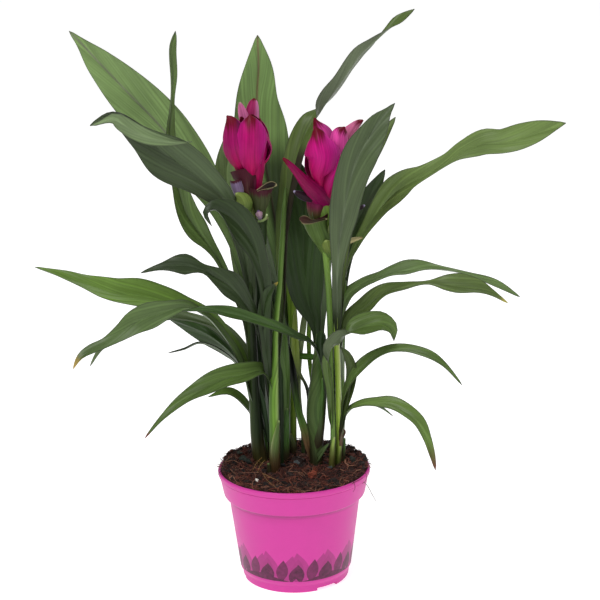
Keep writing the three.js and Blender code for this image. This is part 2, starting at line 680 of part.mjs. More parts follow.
// Flowers. The axis runs from the foot of the pink bracts to their top, on the picture.
// A bract stands round that axis at `turn` degrees, 0 to the viewer and 90 to the right, and its rows
// are [height along the axis, distance from it, width], in millimetres.
const FLOWERS = [
  {
    name: "left",
    foot: [-7.2, 15, 3.4],
    stalk: [
      [285, 430, -17, 3.5], [279, 370, -14, 3.3], [270, 310, -9, 2.9], [264, 268, -4, 2.5],
      [262, 243, -2, 2.6], [259, 215, -2, 3.6],
    ],
    axis: [[254, 174, -2], [250, 112, -2]],
    leaves: [
      {
        name: "narrow_middle",
        fold: 14, curl: 0, wave: 0.5, ripples: 1,
        route: [
          [285, 450, -14, 5, 0], [286, 420, -12, 5, 0], [286.5, 395, -10, 6, 0], [285, 365, -8, 8, 0],
          [283, 335, -6, 7, 0], [282, 305, -5, 1.2, 0],
        ],
      },
    ],
    pink: [
      { turn: 0, cup: 52, rows: petal(0.5, 43, 14, 5, 27) },
      { turn: -64, cup: 50, rows: petal(1, 47, 28, 20.5, 34) },
      { turn: 68, cup: 50, rows: petal(1, 37, 15, 10, 24) },
      { turn: -128, cup: 46, rows: petal(3, 52, 13, 13, 18) },
      { turn: 118, cup: 46, rows: petal(3, 43, 15, 9, 22) },
      { turn: 172, cup: 46, rows: petal(4, 48, 15, 12, 26) },
      { turn: -50, cup: 40, rows: petal(10, 51, 7, 7, 13) },
      { turn: 150, cup: 44, rows: petal(8, 57, 8, 4, 19) },
    ],
    green: [
      { turn: -24, cup: 60, rows: [[-19, 4, 10], [-13, 9, 24], [-6, 13, 33], [-1.5, 16, 30]] },
      { turn: 120, cup: 60, rows: [[-22, 4, 10], [-15, 8, 20], [-8, 12, 26], [-3, 16, 22]] },
      { turn: 56, cup: 70, rows: [[-34, 3, 8], [-26, 8, 20], [-17, 12, 28], [-11, 14, 26], [-10, 18, 20]] },
      { turn: -48, cup: 75, rows: [[-33, 3, 8], [-28, 9, 18], [-20, 15, 25], [-15, 15, 20], [-15, 10, 12]] },
      { turn: 178, cup: 70, rows: [[-36, 3, 8], [-27, 8, 20], [-17, 12, 28], [-11, 15, 24]] },
      { turn: 18, cup: 60, rows: [[-46, 2, 6], [-41, 5, 12], [-35, 7, 15], [-33, 10, 10]] },
    ],
  },
  {
    name: "right",
    foot: [29.4, 1, 2.4],
    stalk: [
      [332, 430, -1, 2.4], [331.2, 390, -2, 2.4], [330.6, 345, -4, 2.4], [329, 295, -2, 2.4],
      [326.5, 262, 0, 2.6], [325, 240, 1, 3.2],
    ],
    axis: [[325, 203, 1], [319, 120, 1]],
    leaves: [
      {
        name: "folded_middle_right",
        fold: 18, curl: 8, wave: 1.5, ripples: 1.5,
        route: [
          [332, 430, 0, 6, -20], [330, 392, 3, 7, -30], [326.5, 362, 9, 10, -50],
          [329, 346, 15, 12, -120], [338, 337, 19, 11, -125], [348, 331, 19, 14, -62],
          [358, 327, 18, 20, -34], [369, 324, 18, 21, -30], [382, 322.5, 19, 20, -34],
          [392, 328.5, 19, 14, -42], [394, 341, 20, 2, -60],
        ],
      },
    ],
    pink: [
      { turn: -6, cup: 52, rows: petal(12, 57, 15, 7, 31) },
      { turn: 52, cup: 50, rows: petal(10, 60, 17, 21, 32) },
      { turn: 98, cup: 46, rows: petal(8, 63, 24, 34, 34) },
      { turn: 150, cup: 46, rows: petal(10, 58, 15, 13, 26) },
      { turn: -146, cup: 50, rows: petal(12, 63, 15, 9, 28) },
      { turn: -84, cup: 46, rows: petal(8, 46, 15, 14, 26) },
      { turn: -78, cup: 36, rows: [[1, 3, 8], [6, 11, 18], [16, 18, 19], [27, 25, 12], [35, 30, 2]] },
      { turn: 34, cup: 46, rows: [[2, 3, 10], [9, 14, 26], [20, 20, 26], [32, 24, 14], [40, 25, 2]] },
      { turn: -24, cup: 56, rows: [[1, 4, 14], [6, 11, 28], [13, 15, 28], [20, 16, 14]] },
    ],
    green: [
      { turn: -34, cup: 60, rows: [[-20, 4, 10], [-13, 8, 20], [-6, 11, 24], [-1.5, 14, 16]] },
      { turn: 80, cup: 60, rows: [[-24, 4, 10], [-17, 8, 20], [-12, 12, 24], [-10, 15, 16]] },
      { turn: -58, cup: 70, rows: [[-44, 3, 8], [-33, 8, 18], [-22, 13, 28], [-15, 15, 28], [-14, 19, 20]] },
      { turn: 176, cup: 70, rows: [[-40, 3, 8], [-30, 8, 20], [-20, 12, 28], [-13, 15, 24]] },
      { turn: 14, cup: 66, rows: [[-46, 3, 6], [-40, 6, 14], [-32, 9, 18], [-28, 8, 12]] },
      { turn: 88, cup: 40, rows: [[-44, 3, 8], [-36, 9, 14], [-30, 16, 13], [-26, 23, 8], [-25, 28, 2]] },
    ],
  },
];

// The rows of a petal-like bract: it leaves the axis low, bulges, and closes to a pointed tip.
function petal(base, top, bulge, tipOut, width) {
  const at = (share) => base + (top - base) * share;
  return [
    [at(0), 2, width * 0.35],
    [at(0.14), bulge * 0.72, width * 0.72],
    [at(0.4), bulge, width * 0.98],
    [at(0.68), bulge * 0.6 + tipOut * 0.4, width * 0.98],
    [at(0.88), bulge * 0.15 + tipOut * 0.85, width * 0.7],
    [at(1), tipOut, 2],
  ];
}

function flowerFrame(flower) {
  const [foot, top] = flower.axis.map((row) => fromPicture(...row));
  const axis = top.clone().sub(foot).normalize();
  const forward = new THREE.Vector3(LENS.across, -LENS.back, LENS.up).sub(foot);
  forward.addScaledVector(axis, -forward.dot(axis)).normalize();
  return { foot, axis, forward, right: axis.clone().cross(forward) };
}

function bractSolid(frame, bract) {
  const angle = radians(bract.turn);
  const out = frame.forward.clone().multiplyScalar(Math.cos(angle));
  out.addScaledVector(frame.right, Math.sin(angle));
  const rows = bract.rows.map(([height, distance, width]) => [height, distance, 0, width]);
  const path = smoothRows(rows);
  const side = out.clone().cross(frame.axis);
  const grid = BRACT_SHARES.map((share) => {
    const [height, distance, , width] = path.at(share);
    const [ahead, behind] = [path.at(share + 0.02), path.at(share - 0.02)];
    const [climb, spread] = [ahead[0] - behind[0], ahead[1] - behind[1]];
    const inward = out.clone().multiplyScalar(-climb).addScaledVector(frame.axis, spread).normalize();
    const point = frame.foot.clone().addScaledVector(frame.axis, height).addScaledVector(out, distance);
    return BROAD_ACROSS.map((s) => {
      const [over, up] = section(s, Math.max(width, 1) / 2, radians(BRACT_CREASE), radians(bract.cup));
      return point.clone().addScaledVector(side, over).addScaledVector(inward, up);
    });
  });
  return solid(thicken(grid, BRACT_THICK));
}

// A short tube along a flower's axis, through rows of [height, radius].
function coreSolid(frame, rows) {
  const line = rows.map(([height, radius]) => [
    ...frame.foot.clone().addScaledVector(frame.axis, height).toArray(),
    radius,
  ]);
  return solid(tubeGeometry(line, rows.length - 1));
}

function footRows([x, y, radius]) {
  return [
    [x, y, SOIL_EDGE - FOOT_DEPTH, radius * 0.9],
    [x, y, SOIL_EDGE - 4, radius],
  ];
}

function stemRows(foot, stem) {
  const risen = stem.map(([px, py, ahead, r]) => [...fromPicture(px, py, ahead).toArray(), r]);
  return [...footRows(foot), ...risen];
}

function shootSolid(shoot) {
  const stem = solid(tubeGeometry(stemRows(shoot.foot, shoot.stem), STEM_STEPS));
  return mainBody(joined([stem, ...shoot.leaves.map((leaf) => solid(leafGeometry(leaf)))]));
}

function flowerStalkSolid(flower) {
  const frame = flowerFrame(flower);
  const neck = [-CORE_RADIUS, -SEAT_GAP].map((height) => [
    ...frame.foot.clone().addScaledVector(frame.axis, height).toArray(),
    CORE_RADIUS,
  ]);
  const stalk = tubeGeometry([...stemRows(flower.foot, flower.stalk), ...neck], STEM_STEPS + 2);
  return mainBody(
    joined([
      solid(stalk),
      ...flower.green.map((bract) => bractSolid(frame, bract)),
      ...flower.leaves.map((leaf) => solid(leafGeometry(leaf))),
    ]),
  );
}

function flowerBractsSolid(flower) {
  const frame = flowerFrame(flower);
  const top = flower.pink[0].rows.at(-1)[0];
  const core = coreSolid(frame, [[0, CORE_RADIUS], [top * 0.4, CORE_RADIUS], [top * 0.75, 1]]);
  return mainBody(joined([core, ...flower.pink.map((bract) => bractSolid(frame, bract))]));
}

// The soil: its side follows the pot's inside wall, its top is a low lumpy mound, and each stem
// stands in a plain hole of its own.
function soilHeight(x, y) {
  const out = Math.min(1, Math.hypot(x, y) / SOIL_WALL.at(-1)[0]);
  const lumps = Math.sin(x * 0.31 + 1.3) * Math.cos(y * 0.27) + 0.6 * Math.sin(x * 0.13 - y * 0.41 + 2);
  return SOIL_EDGE + SOIL_CROWN * (1 - out * out) + SOIL_LUMP * lumps * (1 - out ** 4);
}

function soilSolid(stands) {
  const positions = [0, 0, soilHeight(0, 0)];
  const faces = [];
  const ring = (place) => {
    for (let k = 0; k < POT_SIDES; k++) {
      const angle = (2 * Math.PI * k) / POT_SIDES;
      positions.push(...place(Math.sin(angle), Math.cos(angle)));
    }
  };
  const edge = SOIL_WALL.at(-1)[0];
  for (let i = 1; i <= SOIL_RINGS; i++) {
    const r = (edge * i) / SOIL_RINGS;
    ring((s, c) => [r * s, -r * c, soilHeight(r * s, -r * c)]);
  }
  SOIL_WALL.slice(0, -1).reverse().forEach(([r, z]) => ring((s, c) => [r * s, -r * c, z]));
  const rings = SOIL_RINGS + SOIL_WALL.length - 1;
  const bottom = positions.length / 3;
  positions.push(0, 0, SOIL_WALL[0][1]);
  for (let k = 0; k < POT_SIDES; k++) {
    const next = (k + 1) % POT_SIDES;
    faces.push(0, 1 + k, 1 + next);
    for (let i = 0; i < rings - 1; i++) {
      const [a, b] = [1 + i * POT_SIDES + k, 1 + i * POT_SIDES + next];
      const [c, d] = [b + POT_SIDES, a + POT_SIDES];
      faces.push(a, d, c, a, c, b);
    }
    const last = 1 + (rings - 1) * POT_SIDES;
    faces.push(bottom, last + next, last + k);
  }
  const geometry = new THREE.BufferGeometry();
  geometry.setAttribute("position", new THREE.BufferAttribute(new Float32Array(positions), 3));
  geometry.setIndex(faces);
  const holes = stands.map(({ foot, stem }) => {
    const rows = stemRows(foot, stem.slice(0, 1)).map(([x, y, z, r]) => [x, y, z, r + HOLE_PLAY]);
    rows[0][2] -= SEAT_GAP;
    return solid(tubeGeometry(rows, 4));
  });
  return mainBody(holes.reduce((body, hole) => body.subtract(hole), solid(geometry)));
}

// The pot, turned about its axis: outside wall, collar, inside wall, raised gutter and base disc.
function potSolid() {
  const step = POT_HEIGHT - COLLAR_HEIGHT;
  const ringInner = FOOT_RADIUS - FOOT_RING_WIDTH;
  const profile = [
    [0, 0], [BASE_DISC_RADIUS, 0], [BASE_DISC_RADIUS + 1, GUTTER_RISE], [ringInner - 1, GUTTER_RISE],
    [ringInner, 0], [FOOT_RADIUS - 0.8, 0], [FOOT_RADIUS, 1], [FOOT_RADIUS + 0.4, 6], [FOOT_RADIUS + 2.2, 9],
    [BODY_TOP_RADIUS, step - 3], [COLLAR_FOOT_RADIUS - 1.2, step], [COLLAR_FOOT_RADIUS, step + 2.5],
    [RIM_RADIUS - 1.4, POT_HEIGHT - 5.5], [RIM_RADIUS, POT_HEIGHT - 4], [RIM_RADIUS - 0.2, POT_HEIGHT - 0.5],
    [RIM_RADIUS - 0.8, POT_HEIGHT], [RIM_RADIUS - 1.6, POT_HEIGHT],
    ...INNER_WALL.toReversed(), [0, GUTTER_RISE + WALL],
  ];
  const turned = new THREE.LatheGeometry(profile.map(([r, z]) => new THREE.Vector2(r, z)), POT_SIDES);
  turned.rotateX(Math.PI / 2);
  let body = solid(turned);
  for (let i = 0; i < NOTCH.count; i++) {
    const angle = radians(NOTCH.first + (360 / NOTCH.count) * i - 90);
    const width = 2 * FOOT_RADIUS * Math.sin(radians(NOTCH.halfAngle));
    const cutter = new THREE.BoxGeometry(FOOT_RING_WIDTH * 2, width, NOTCH.height * 2);
    cutter.translate(FOOT_RADIUS - FOOT_RING_WIDTH / 2, 0, 0).rotateZ(angle);
    body = body.subtract(solid(cutter));
  }
  for (let i = 0; i < DRAIN.count; i++) {
    const angle = radians((360 / DRAIN.count) * i);
    const drill = new THREE.CylinderGeometry(DRAIN.radius, DRAIN.radius, DRAIN.depth, DRAIN.sides);
    drill.rotateX(Math.PI / 2).translate(DRAIN.ring * Math.cos(angle), DRAIN.ring * Math.sin(angle), 0);
    body = body.subtract(solid(drill));
  }
  return body;
}

const group = new THREE.Group();

function addMesh(name, body, colour, roughness, metalness = 0) {
  const material = new THREE.MeshStandardMaterial({ color: colour, roughness, metalness });
  const mesh = new THREE.Mesh(geometryOf(body), material);
  mesh.name = name;
  group.add(mesh);
}

const stands = [...SHOOTS, ...FLOWERS.map(({ foot, stalk }) => ({ foot, stem: stalk }))];

addMesh("pot", potSolid(), 0xe055a8, 0.45);
addMesh("soil", soilSolid(stands), 0x3a281f, 0.95);
SHOOTS.forEach((shoot) => addMesh(shoot.name, shootSolid(shoot), 0x4e6e3a, 0.5));
FLOWERS.forEach((flower) => {
  addMesh(`flower_stalk_${flower.name}`, flowerStalkSolid(flower), 0x5d7a35, 0.5);
  addMesh(`flower_bracts_${flower.name}`, flowerBractsSolid(flower), 0xb5207c, 0.45);
});

export default group;
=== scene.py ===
# %% [markdown]
# # A potted Siam tulip
# This notebook dresses a Siam tulip in its plastic pot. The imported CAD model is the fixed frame: it says
# where each leafy stem, flower, the soil and the pot are. Every piece made here is finer than its CAD
# node, stands in the same place and replaces it.

# %% Load the fixed frame
import math

import bmesh
import bpy
import numpy as np
from mathutils import Matrix, Vector, noise


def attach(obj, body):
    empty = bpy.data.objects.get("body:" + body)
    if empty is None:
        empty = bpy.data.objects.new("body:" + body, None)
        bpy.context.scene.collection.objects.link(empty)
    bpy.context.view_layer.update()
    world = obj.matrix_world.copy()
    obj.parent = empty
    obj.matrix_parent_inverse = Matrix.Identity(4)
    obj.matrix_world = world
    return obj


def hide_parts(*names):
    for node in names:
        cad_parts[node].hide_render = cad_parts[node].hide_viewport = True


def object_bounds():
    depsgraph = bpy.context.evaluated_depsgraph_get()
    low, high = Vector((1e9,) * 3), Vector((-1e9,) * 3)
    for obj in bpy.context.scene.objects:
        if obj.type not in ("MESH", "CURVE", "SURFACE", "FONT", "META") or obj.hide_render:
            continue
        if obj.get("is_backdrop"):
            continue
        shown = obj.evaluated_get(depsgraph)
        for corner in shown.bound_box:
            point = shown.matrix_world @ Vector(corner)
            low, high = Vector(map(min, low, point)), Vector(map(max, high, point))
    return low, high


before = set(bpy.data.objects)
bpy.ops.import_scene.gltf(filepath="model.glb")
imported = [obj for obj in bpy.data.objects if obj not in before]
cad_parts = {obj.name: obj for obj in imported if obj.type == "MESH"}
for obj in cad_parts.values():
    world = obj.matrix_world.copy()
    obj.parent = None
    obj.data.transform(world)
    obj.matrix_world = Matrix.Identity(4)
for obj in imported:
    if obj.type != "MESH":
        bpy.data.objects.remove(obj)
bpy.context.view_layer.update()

MM = 0.001
print("frame nodes:", ", ".join(sorted(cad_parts)))

# %% [markdown]
# ## The lens
# The leaves of a living plant have no drawing to follow, so their routes are read off one picture. A
# point on it, with its distance in front of the pot's axis, is a point in space once the lens is known.
# The lens was found from the pot, whose rim and foot are circles. The camera goes to the same place.

# %% The camera, where the photographer's lens stood
LENS_ACROSS, LENS_BACK, LENS_UP = 7.3, 1096.0, 491.0  # mm from the middle of the pot's foot
LENS_TILT, LENS_ROLL = math.radians(13.68), math.radians(1.11)
PICTURE_SIZE, FOCAL_IN_PIXELS, SENSOR_WIDTH = 600, 1467.0, 36.0
EYE = np.array([LENS_ACROSS, -LENS_BACK, LENS_UP])

camera_data = bpy.data.cameras.new("photographer")
camera_data.sensor_width = SENSOR_WIDTH
camera_data.lens = SENSOR_WIDTH * FOCAL_IN_PIXELS / PICTURE_SIZE
camera_data.clip_start, camera_data.clip_end = 0.05, 100
camera = bpy.data.objects.new("photographer", camera_data)
camera.matrix_world = (
    Matrix.Translation(Vector(EYE) * MM)
    @ Matrix.Rotation(math.pi / 2 - LENS_TILT, 4, "X")
    @ Matrix.Rotation(-LENS_ROLL, 4, "Z")
)
bpy.context.scene.collection.objects.link(camera)
bpy.context.scene.camera = camera
print("lens:", round(camera_data.lens, 1), "mm")


# %% From the picture to millimetres in space
def from_picture(px, py, ahead):
    x = (px - PICTURE_SIZE / 2) / FOCAL_IN_PIXELS
    y = (PICTURE_SIZE / 2 - py) / FOCAL_IN_PIXELS
    right = x * math.cos(LENS_ROLL) + y * math.sin(LENS_ROLL)
    up = y * math.cos(LENS_ROLL) - x * math.sin(LENS_ROLL)
    forward = math.cos(LENS_TILT) + up * math.sin(LENS_TILT)
    rise = up * math.cos(LENS_TILT) - math.sin(LENS_TILT)
    reach = (LENS_BACK - ahead) / forward
    return np.array([LENS_ACROSS + reach * right, -ahead, LENS_UP + reach * rise])


print("the picture's middle shows", from_picture(300, 300, 0).round(), "mm on the pot's axis")

# %% [markdown]
# ## Curves and sheets
# Leaves, bracts and stems all follow a smooth curve through a few measured rows. A numpy array holds a
# whole blade at once, which is quicker than moving points by hand or through operators.

# %% A smooth curve through rows of numbers
class Route:
    """The first three columns are a point in millimetres, and the rest change smoothly with it."""

    def __init__(self, rows):
        self.rows = np.array(rows, float)
        steps = np.linalg.norm(np.diff(self.rows[:, :3], axis=0), axis=1)
        self.knots = np.concatenate([[0], np.cumsum(steps)])
        self.length = self.knots[-1]
        place = np.arange(len(self.rows))
        before, after = np.maximum(place - 1, 0), np.minimum(place + 1, len(place) - 1)
        rise = self.rows[after] - self.rows[before]
        self.slopes = rise / (self.knots[after] - self.knots[before])[:, None]

    def at(self, share):
        distance = np.clip(share, 0, 1) * self.length
        i = np.clip(np.searchsorted(self.knots, distance) - 1, 0, len(self.knots) - 2)
        span = (self.knots[i + 1] - self.knots[i])[:, None]
        u = (distance - self.knots[i])[:, None] / span
        value = (2 * u**3 - 3 * u**2 + 1) * self.rows[i] + (3 * u**2 - 2 * u**3) * self.rows[i + 1]
        bend = (u**3 - 2 * u**2 + u) * self.slopes[i] + (u**3 - u**2) * self.slopes[i + 1]
        return value + span * bend

    def heading(self, share, step=0.01):
        return unit((self.at(share + step) - self.at(share - step))[:, :3])


def unit(vectors):
    return vectors / np.maximum(np.linalg.norm(vectors, axis=-1, keepdims=True), 1e-9)


def smooth(value, start, end):
    t = np.clip((value - start) / (end - start), 0, 1)
    return t * t * (3 - 2 * t)


# %% Colours: hex values as on a screen, turned to linear light
def colour(hex_text):
    parts = np.array([int(hex_text[i : i + 2], 16) / 255 for i in (1, 3, 5)])
    return np.where(parts <= 0.04045, parts / 12.92, ((parts + 0.055) / 1.055) ** 2.4)


def blend(base, over, weight):
    return base + (over - base) * weight[..., None]


# %% [markdown]
# ## One mesh for each stem or flower
# Each CAD node gets one mesh, collected blade by blade. Every point keeps two notes for the material:
# its own tint, and its grain, which is how far it lies across and along its blade in millimetres. The
# veins follow the grain, so they bend with the leaf as real ones do.

# %% Collect blades and tubes into one mesh
BLADE, SHEATH, POUCH, PINK = 0, 1, 2, 0  # which of its piece's finishes a face gets


class Bench:
    def __init__(self):
        self.points, self.faces, self.tints, self.grains, self.kinds = [], [], [], [], []
        self.count = 0
        self.names = []

    def add(self, points, faces, tints, grains, kind=BLADE):
        self.points.append(points.reshape(-1, 3))
        self.tints.append(tints.reshape(-1, 3))
        self.grains.append(grains.reshape(-1, 3))
        self.faces.append(np.asarray(faces) + self.count)
        self.kinds.append(np.full(len(faces), kind))
        self.count += len(self.points[-1])

    def piece(self, name, finishes, stands_for=None, sharp=40):
        """Makes the object; edges over the angle sharp, in degrees, aren't smoothed."""
        mesh = bpy.data.meshes.new(name)
        faces = [face.tolist() for group in self.faces for face in group]
        mesh.from_pydata(np.concatenate(self.points) * MM, [], faces)
        tints = np.concatenate(self.tints)
        tint = mesh.attributes.new("tint", "FLOAT_COLOR", "POINT")
        tint.data.foreach_set("color", np.c_[tints, np.ones(len(tints))].ravel())
        grain = mesh.attributes.new("grain", "FLOAT_VECTOR", "POINT")
        grain.data.foreach_set("vector", np.concatenate(self.grains).ravel())
        for finish in finishes:
            mesh.materials.append(finish)
        mesh.polygons.foreach_set("material_index", np.concatenate(self.kinds))
        mesh.shade_smooth()
        mesh.set_sharp_from_angle(angle=math.radians(sharp))
        mesh.update()
        made = bpy.data.objects.new(name, mesh)
        bpy.context.scene.collection.objects.link(made)
        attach(made, "root")
        if stands_for:
            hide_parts(stands_for)
        print(f"{name}: {len(faces)} faces", *self.names, sep=", ")


# %% The faces of a thin sheet and of a tube
def sheet_faces(rows, columns):
    """Quads of a closed sheet: an upper grid of points, a lower one after it, and the rim between."""
    upper, lower = np.arange(2 * rows * columns).reshape(2, rows, columns)
    return np.concatenate([
        np.stack(corners, -1).reshape(-1, 4)
        for corners in (
            (upper[:-1, :-1], upper[:-1, 1:], upper[1:, 1:], upper[1:, :-1]),
            (lower[:-1, :-1], lower[1:, :-1], lower[1:, 1:], lower[:-1, 1:]),
            (upper[:-1, 0], upper[1:, 0], lower[1:, 0], lower[:-1, 0]),
            (upper[:-1, -1], lower[:-1, -1], lower[1:, -1], upper[1:, -1]),
            (upper[0, :-1], lower[0, :-1], lower[0, 1:], upper[0, 1:]),
            (upper[-1, :-1], upper[-1, 1:], lower[-1, 1:], lower[-1, :-1]),
        )
    ])


def tube_faces(rows, sides):
    index = np.arange(rows * sides).reshape(rows, sides)
    turned = np.roll(index, -1, 1)
    return np.stack([index[:-1], turned[:-1], turned[1:], index[1:]], -1).reshape(-1, 4)


def thick_sheet(grid, thick, up_relief, low_relief):
    """Both faces of a sheet: half the thickness off to each side, with relief in millimetres."""
    normal = unit(np.cross(np.gradient(grid, axis=1), np.gradient(grid, axis=0)))
    half = np.broadcast_to(thick / 2, grid.shape[:2])
    return grid + normal * (half + up_relief)[..., None], grid - normal * (half + low_relief)[..., None]


# %% [markdown]
# ## Finish: the leaf blade
# A ginger-family leaf is thin and matt to satin, under a waxy cuticle. Fine side veins leave the midrib
# at a narrow angle and run up to the margin, a millimetre or so apart, and every few millimetres the
# blade has a soft pleat. Painted veins would need a picture, so noise is stretched along the veins here.

# %% Small helpers for material nodes
def new_finish(name):
    finish = bpy.data.materials.new(name)
    finish.use_nodes = True
    return finish, finish.node_tree, finish.node_tree.nodes["Principled BSDF"]


def fill(tree, node, inputs):
    """A node's inputs, in order or by name: another node's socket is linked, and a value is set."""
    for name, value in inputs.items() if isinstance(inputs, dict) else enumerate(inputs):
        if isinstance(value, bpy.types.NodeSocket):
            tree.links.new(value, node.inputs[name])
        else:
            node.inputs[name].default_value = value


def add_node(tree, kind, inputs=(), **settings):
    made = tree.nodes.new("ShaderNode" + kind)
    for name, value in settings.items():
        setattr(made, name, value)
    fill(tree, made, inputs)
    return made


def work_out(tree, start, *steps):
    """A formula, worked out from start: each step is an operation and the terms that it takes."""
    for operation, *terms in steps:
        start = add_node(tree, "Math", (start, *terms), operation=operation).outputs[0]
    return start


def sum_of(tree, start, *parts):
    """start plus a share of each socket, taken around the middle value that the socket swings about."""
    total = start - sum(share * middle for share, middle, _ in parts)
    for share, _, socket in parts:
        total = work_out(tree, socket, ("MULTIPLY_ADD", share, total))
    return total


# %% Patterns that the finishes share
def grain_nodes(tree):
    """Each point's tint, then its grain: mm across, mm along, and how far it is from a stain."""
    tint, grain = (add_node(tree, "Attribute", attribute_name=name) for name in ("tint", "grain"))
    return tint.outputs["Color"], *add_node(tree, "SeparateXYZ", [grain.outputs["Vector"]]).outputs


def striped_noise(tree, across, along, spacing, run):
    """Noise drawn out into stripes: spacing millimetres apart and run millimetres long."""
    place = [work_out(tree, across, ("DIVIDE", spacing)), work_out(tree, along, ("DIVIDE", run))]
    inputs = {"Vector": add_node(tree, "CombineXYZ", place).outputs[0], "Scale": 1.0, "Detail": 1.5}
    return add_node(tree, "TexNoise", inputs, noise_dimensions="2D").outputs[0]


def clouds(tree, size, detail=3.0):
    """Soft clouds in the object's own space, size in millimetres."""
    place = add_node(tree, "TexCoord").outputs["Object"]
    inputs = {"Vector": place, "Scale": 1 / (size * MM), "Detail": detail}
    return add_node(tree, "TexNoise", inputs).outputs[0]


# %% Leaf blade: tint from each point, veins and pleats from its grain
VEIN_SPACING = 1.5  # mm. Real ones are nearer 0.8 mm apart: coarsened so that a picture shows them
VEIN_RUN = 120.0  # mm that a vein keeps its tone
VEIN_SWEEP = 0.13  # how steeply a vein leaves the midrib
PLEAT_SPACING = 5.2  # mm
BAND_WIDTH, BAND_RUN = 5.0, 45.0  # mm, for the lighter bands between pleats
MOTTLE_SIZE = 14.0  # mm, for clouds of lighter and darker green
CUTICLE_IOR = 1.43  # plant wax


def blade_finish(name, gloss, shine, vein_depth, pleat_depth, vein_tone):
    finish, tree, shader = new_finish(name)
    tint, x, y, _ = grain_nodes(tree)
    swept = work_out(tree, y, ("MULTIPLY_ADD", -VEIN_SWEEP, work_out(tree, x, ("ABSOLUTE",))))
    veins = striped_noise(tree, swept, y, VEIN_SPACING, VEIN_RUN)
    pleats = work_out(tree, swept, ("MULTIPLY", 2 * math.pi / PLEAT_SPACING), ("SINE",))
    bands = striped_noise(tree, swept, y, BAND_WIDTH, BAND_RUN)
    mottle = clouds(tree, MOTTLE_SIZE)
    patches = (0.2, 0.5, mottle), (0.4, 0.5, bands)
    tone = sum_of(tree, 1.0, (vein_tone, 0.5, veins), (0.06, 0, pleats), *patches)
    painted = add_node(tree, "VectorMath", {0: tint, "Scale": tone}, operation="SCALE")
    height = sum_of(tree, 0.0, (vein_depth, 0.5, veins), (pleat_depth, 0, pleats))
    bump = add_node(tree, "Bump", {"Height": height, "Distance": MM})
    fill(tree, shader, {
        "Base Color": painted.outputs[0], "Normal": bump.outputs[0], "IOR": CUTICLE_IOR,
        "Roughness": sum_of(tree, gloss, (0.2, 0.5, mottle)), "Specular IOR Level": shine,
    })
    return finish


# A blade is satin, with fine veins and soft pleats; a sheath reflects less, and has ribs but no pleats.
leaf_finish = blade_finish("living_leaf_with_waxy_cuticle", 0.42, 0.3, 0.14, 0.12, 0.85)
stem_finish = blade_finish("fleshy_leaf_sheath_ribbed", 0.38, 0.18, 0.2, 0.0, 0.9)
print("finishes:", leaf_finish.name, "and", stem_finish.name)

# %% [markdown]
# ## How each blade is coloured
# Leaves of one plant differ: young ones are a fresh yellow-green, old or shaded ones a dull dark green,
# and the underside is paler and greyer. The midrib, the thin margin, a dried tip and the reddish foot
# near the soil each have their own colour, and they are blended point by point. Light and shade are
# painted in as well: a blade is darker low in the clump and towards its foot, and some are lighter on
# one side of the midrib.

# %% Tints of a blade
SHEATH_FOOT, SHEATH_BLUSH, MARGIN_TONE = "#4A2E26", "#6A4A36", "#2A2C24"
FOOT_TOP, BLUSH_TOP = 104.0, 124.0  # mm above the table, where the red-brown has faded
MIDRIB_HALF, MARGIN_WIDTH = 0.75, 0.8  # mm
HEART, HEART_REACH, HEART_TOP = (4, 8), (18, 48), (190, 260)  # mm: the clump's middle, and where it fades
HEART_SHADE = 0.45  # how much darker the blades are there, where little light comes


def blade_tints(tone, look, x, half, left, share, place):
    """left is how far it still is to the tip. A look may have a rib, a tip, and painted light and shade."""
    base = colour(tone)
    # Painted light: the side of the midrib that faces up is lighter than the other.
    dim, bright = look.get("halves", (1, 1))
    tint = base * (dim + (bright - dim) * smooth(x, -1.0, 1.0))[..., None]
    # Painted shade: a blade is darker towards its foot, low among the stems.
    tint = tint * (0.6 + 0.4 * smooth(share, 0.04, 0.38))[..., None]
    # One side of the midrib turns dark brown along part of the blade: partly the underside's own colour,
    # partly painted shade.
    if "half_tone" in look:
        over, start, end = look["half_tone"]
        along = smooth(share, start, start + 0.05) * (1 - smooth(share, end - 0.06, end))
        tint = blend(tint, colour(over), smooth(x, 0, 1.5) * along)
    rib = colour(look["rib"]) if "rib" in look else 1.2 * base + 0.01
    tint = blend(tint, rib, 0.7 * np.exp(-((x / MIDRIB_HALF) ** 2)))
    tint = blend(tint, colour(MARGIN_TONE), 0.7 * smooth(np.abs(x), half - MARGIN_WIDTH, half))
    if "tip" in look:
        tip, length = look["tip"]
        tint = blend(tint, colour(tip), 1 - smooth(left, 0.35 * length, length))
    z = place[..., 2]
    from_heart = np.hypot(place[..., 0] - HEART[0], place[..., 1] - HEART[1])
    dark = (1 - smooth(from_heart, *HEART_REACH)) * (1 - smooth(z, *HEART_TOP))
    tint = tint * (1 - look.get("heart", HEART_SHADE) * dark)[..., None]
    if "low_shade" in look:
        low, high, amount = look["low_shade"]
        tint = tint * (1 - amount * smooth(x, -6, 0) * (1 - smooth(z, low, high)))[..., None]
    if look.get("green_foot"):
        return tint
    tint = blend(tint, colour(SHEATH_BLUSH), 0.85 * (1 - smooth(z, FOOT_TOP, BLUSH_TOP)))
    return blend(tint, colour(SHEATH_FOOT), 0.9 * (1 - smooth(z, FOOT_TOP - 20, FOOT_TOP)))


# %% [markdown]
# ## The shape of a leaf
# A Curcuma leaf is a long blade, creased at a sunken midrib that stands out as a rib below, with halves
# that curl up a little and a gently waving margin. Its lower part folds round the stem. Each row is a
# picture point, its distance ahead of the pot's axis, the blade's width, and how far it is turned: 0
# shows the upper face to the viewer, and 180 the underside.

# %% Across a blade
def section(s, half, fold, curl):
    """How far across and how far up a point of a creased, curling half blade lies."""
    bend = np.abs(s) * curl
    scale = np.sinc(bend / (2 * np.pi))
    lean = fold + bend / 2
    return np.sign(s) * np.abs(s) * half * scale * np.cos(lean), np.abs(s) * half * scale * np.sin(lean)


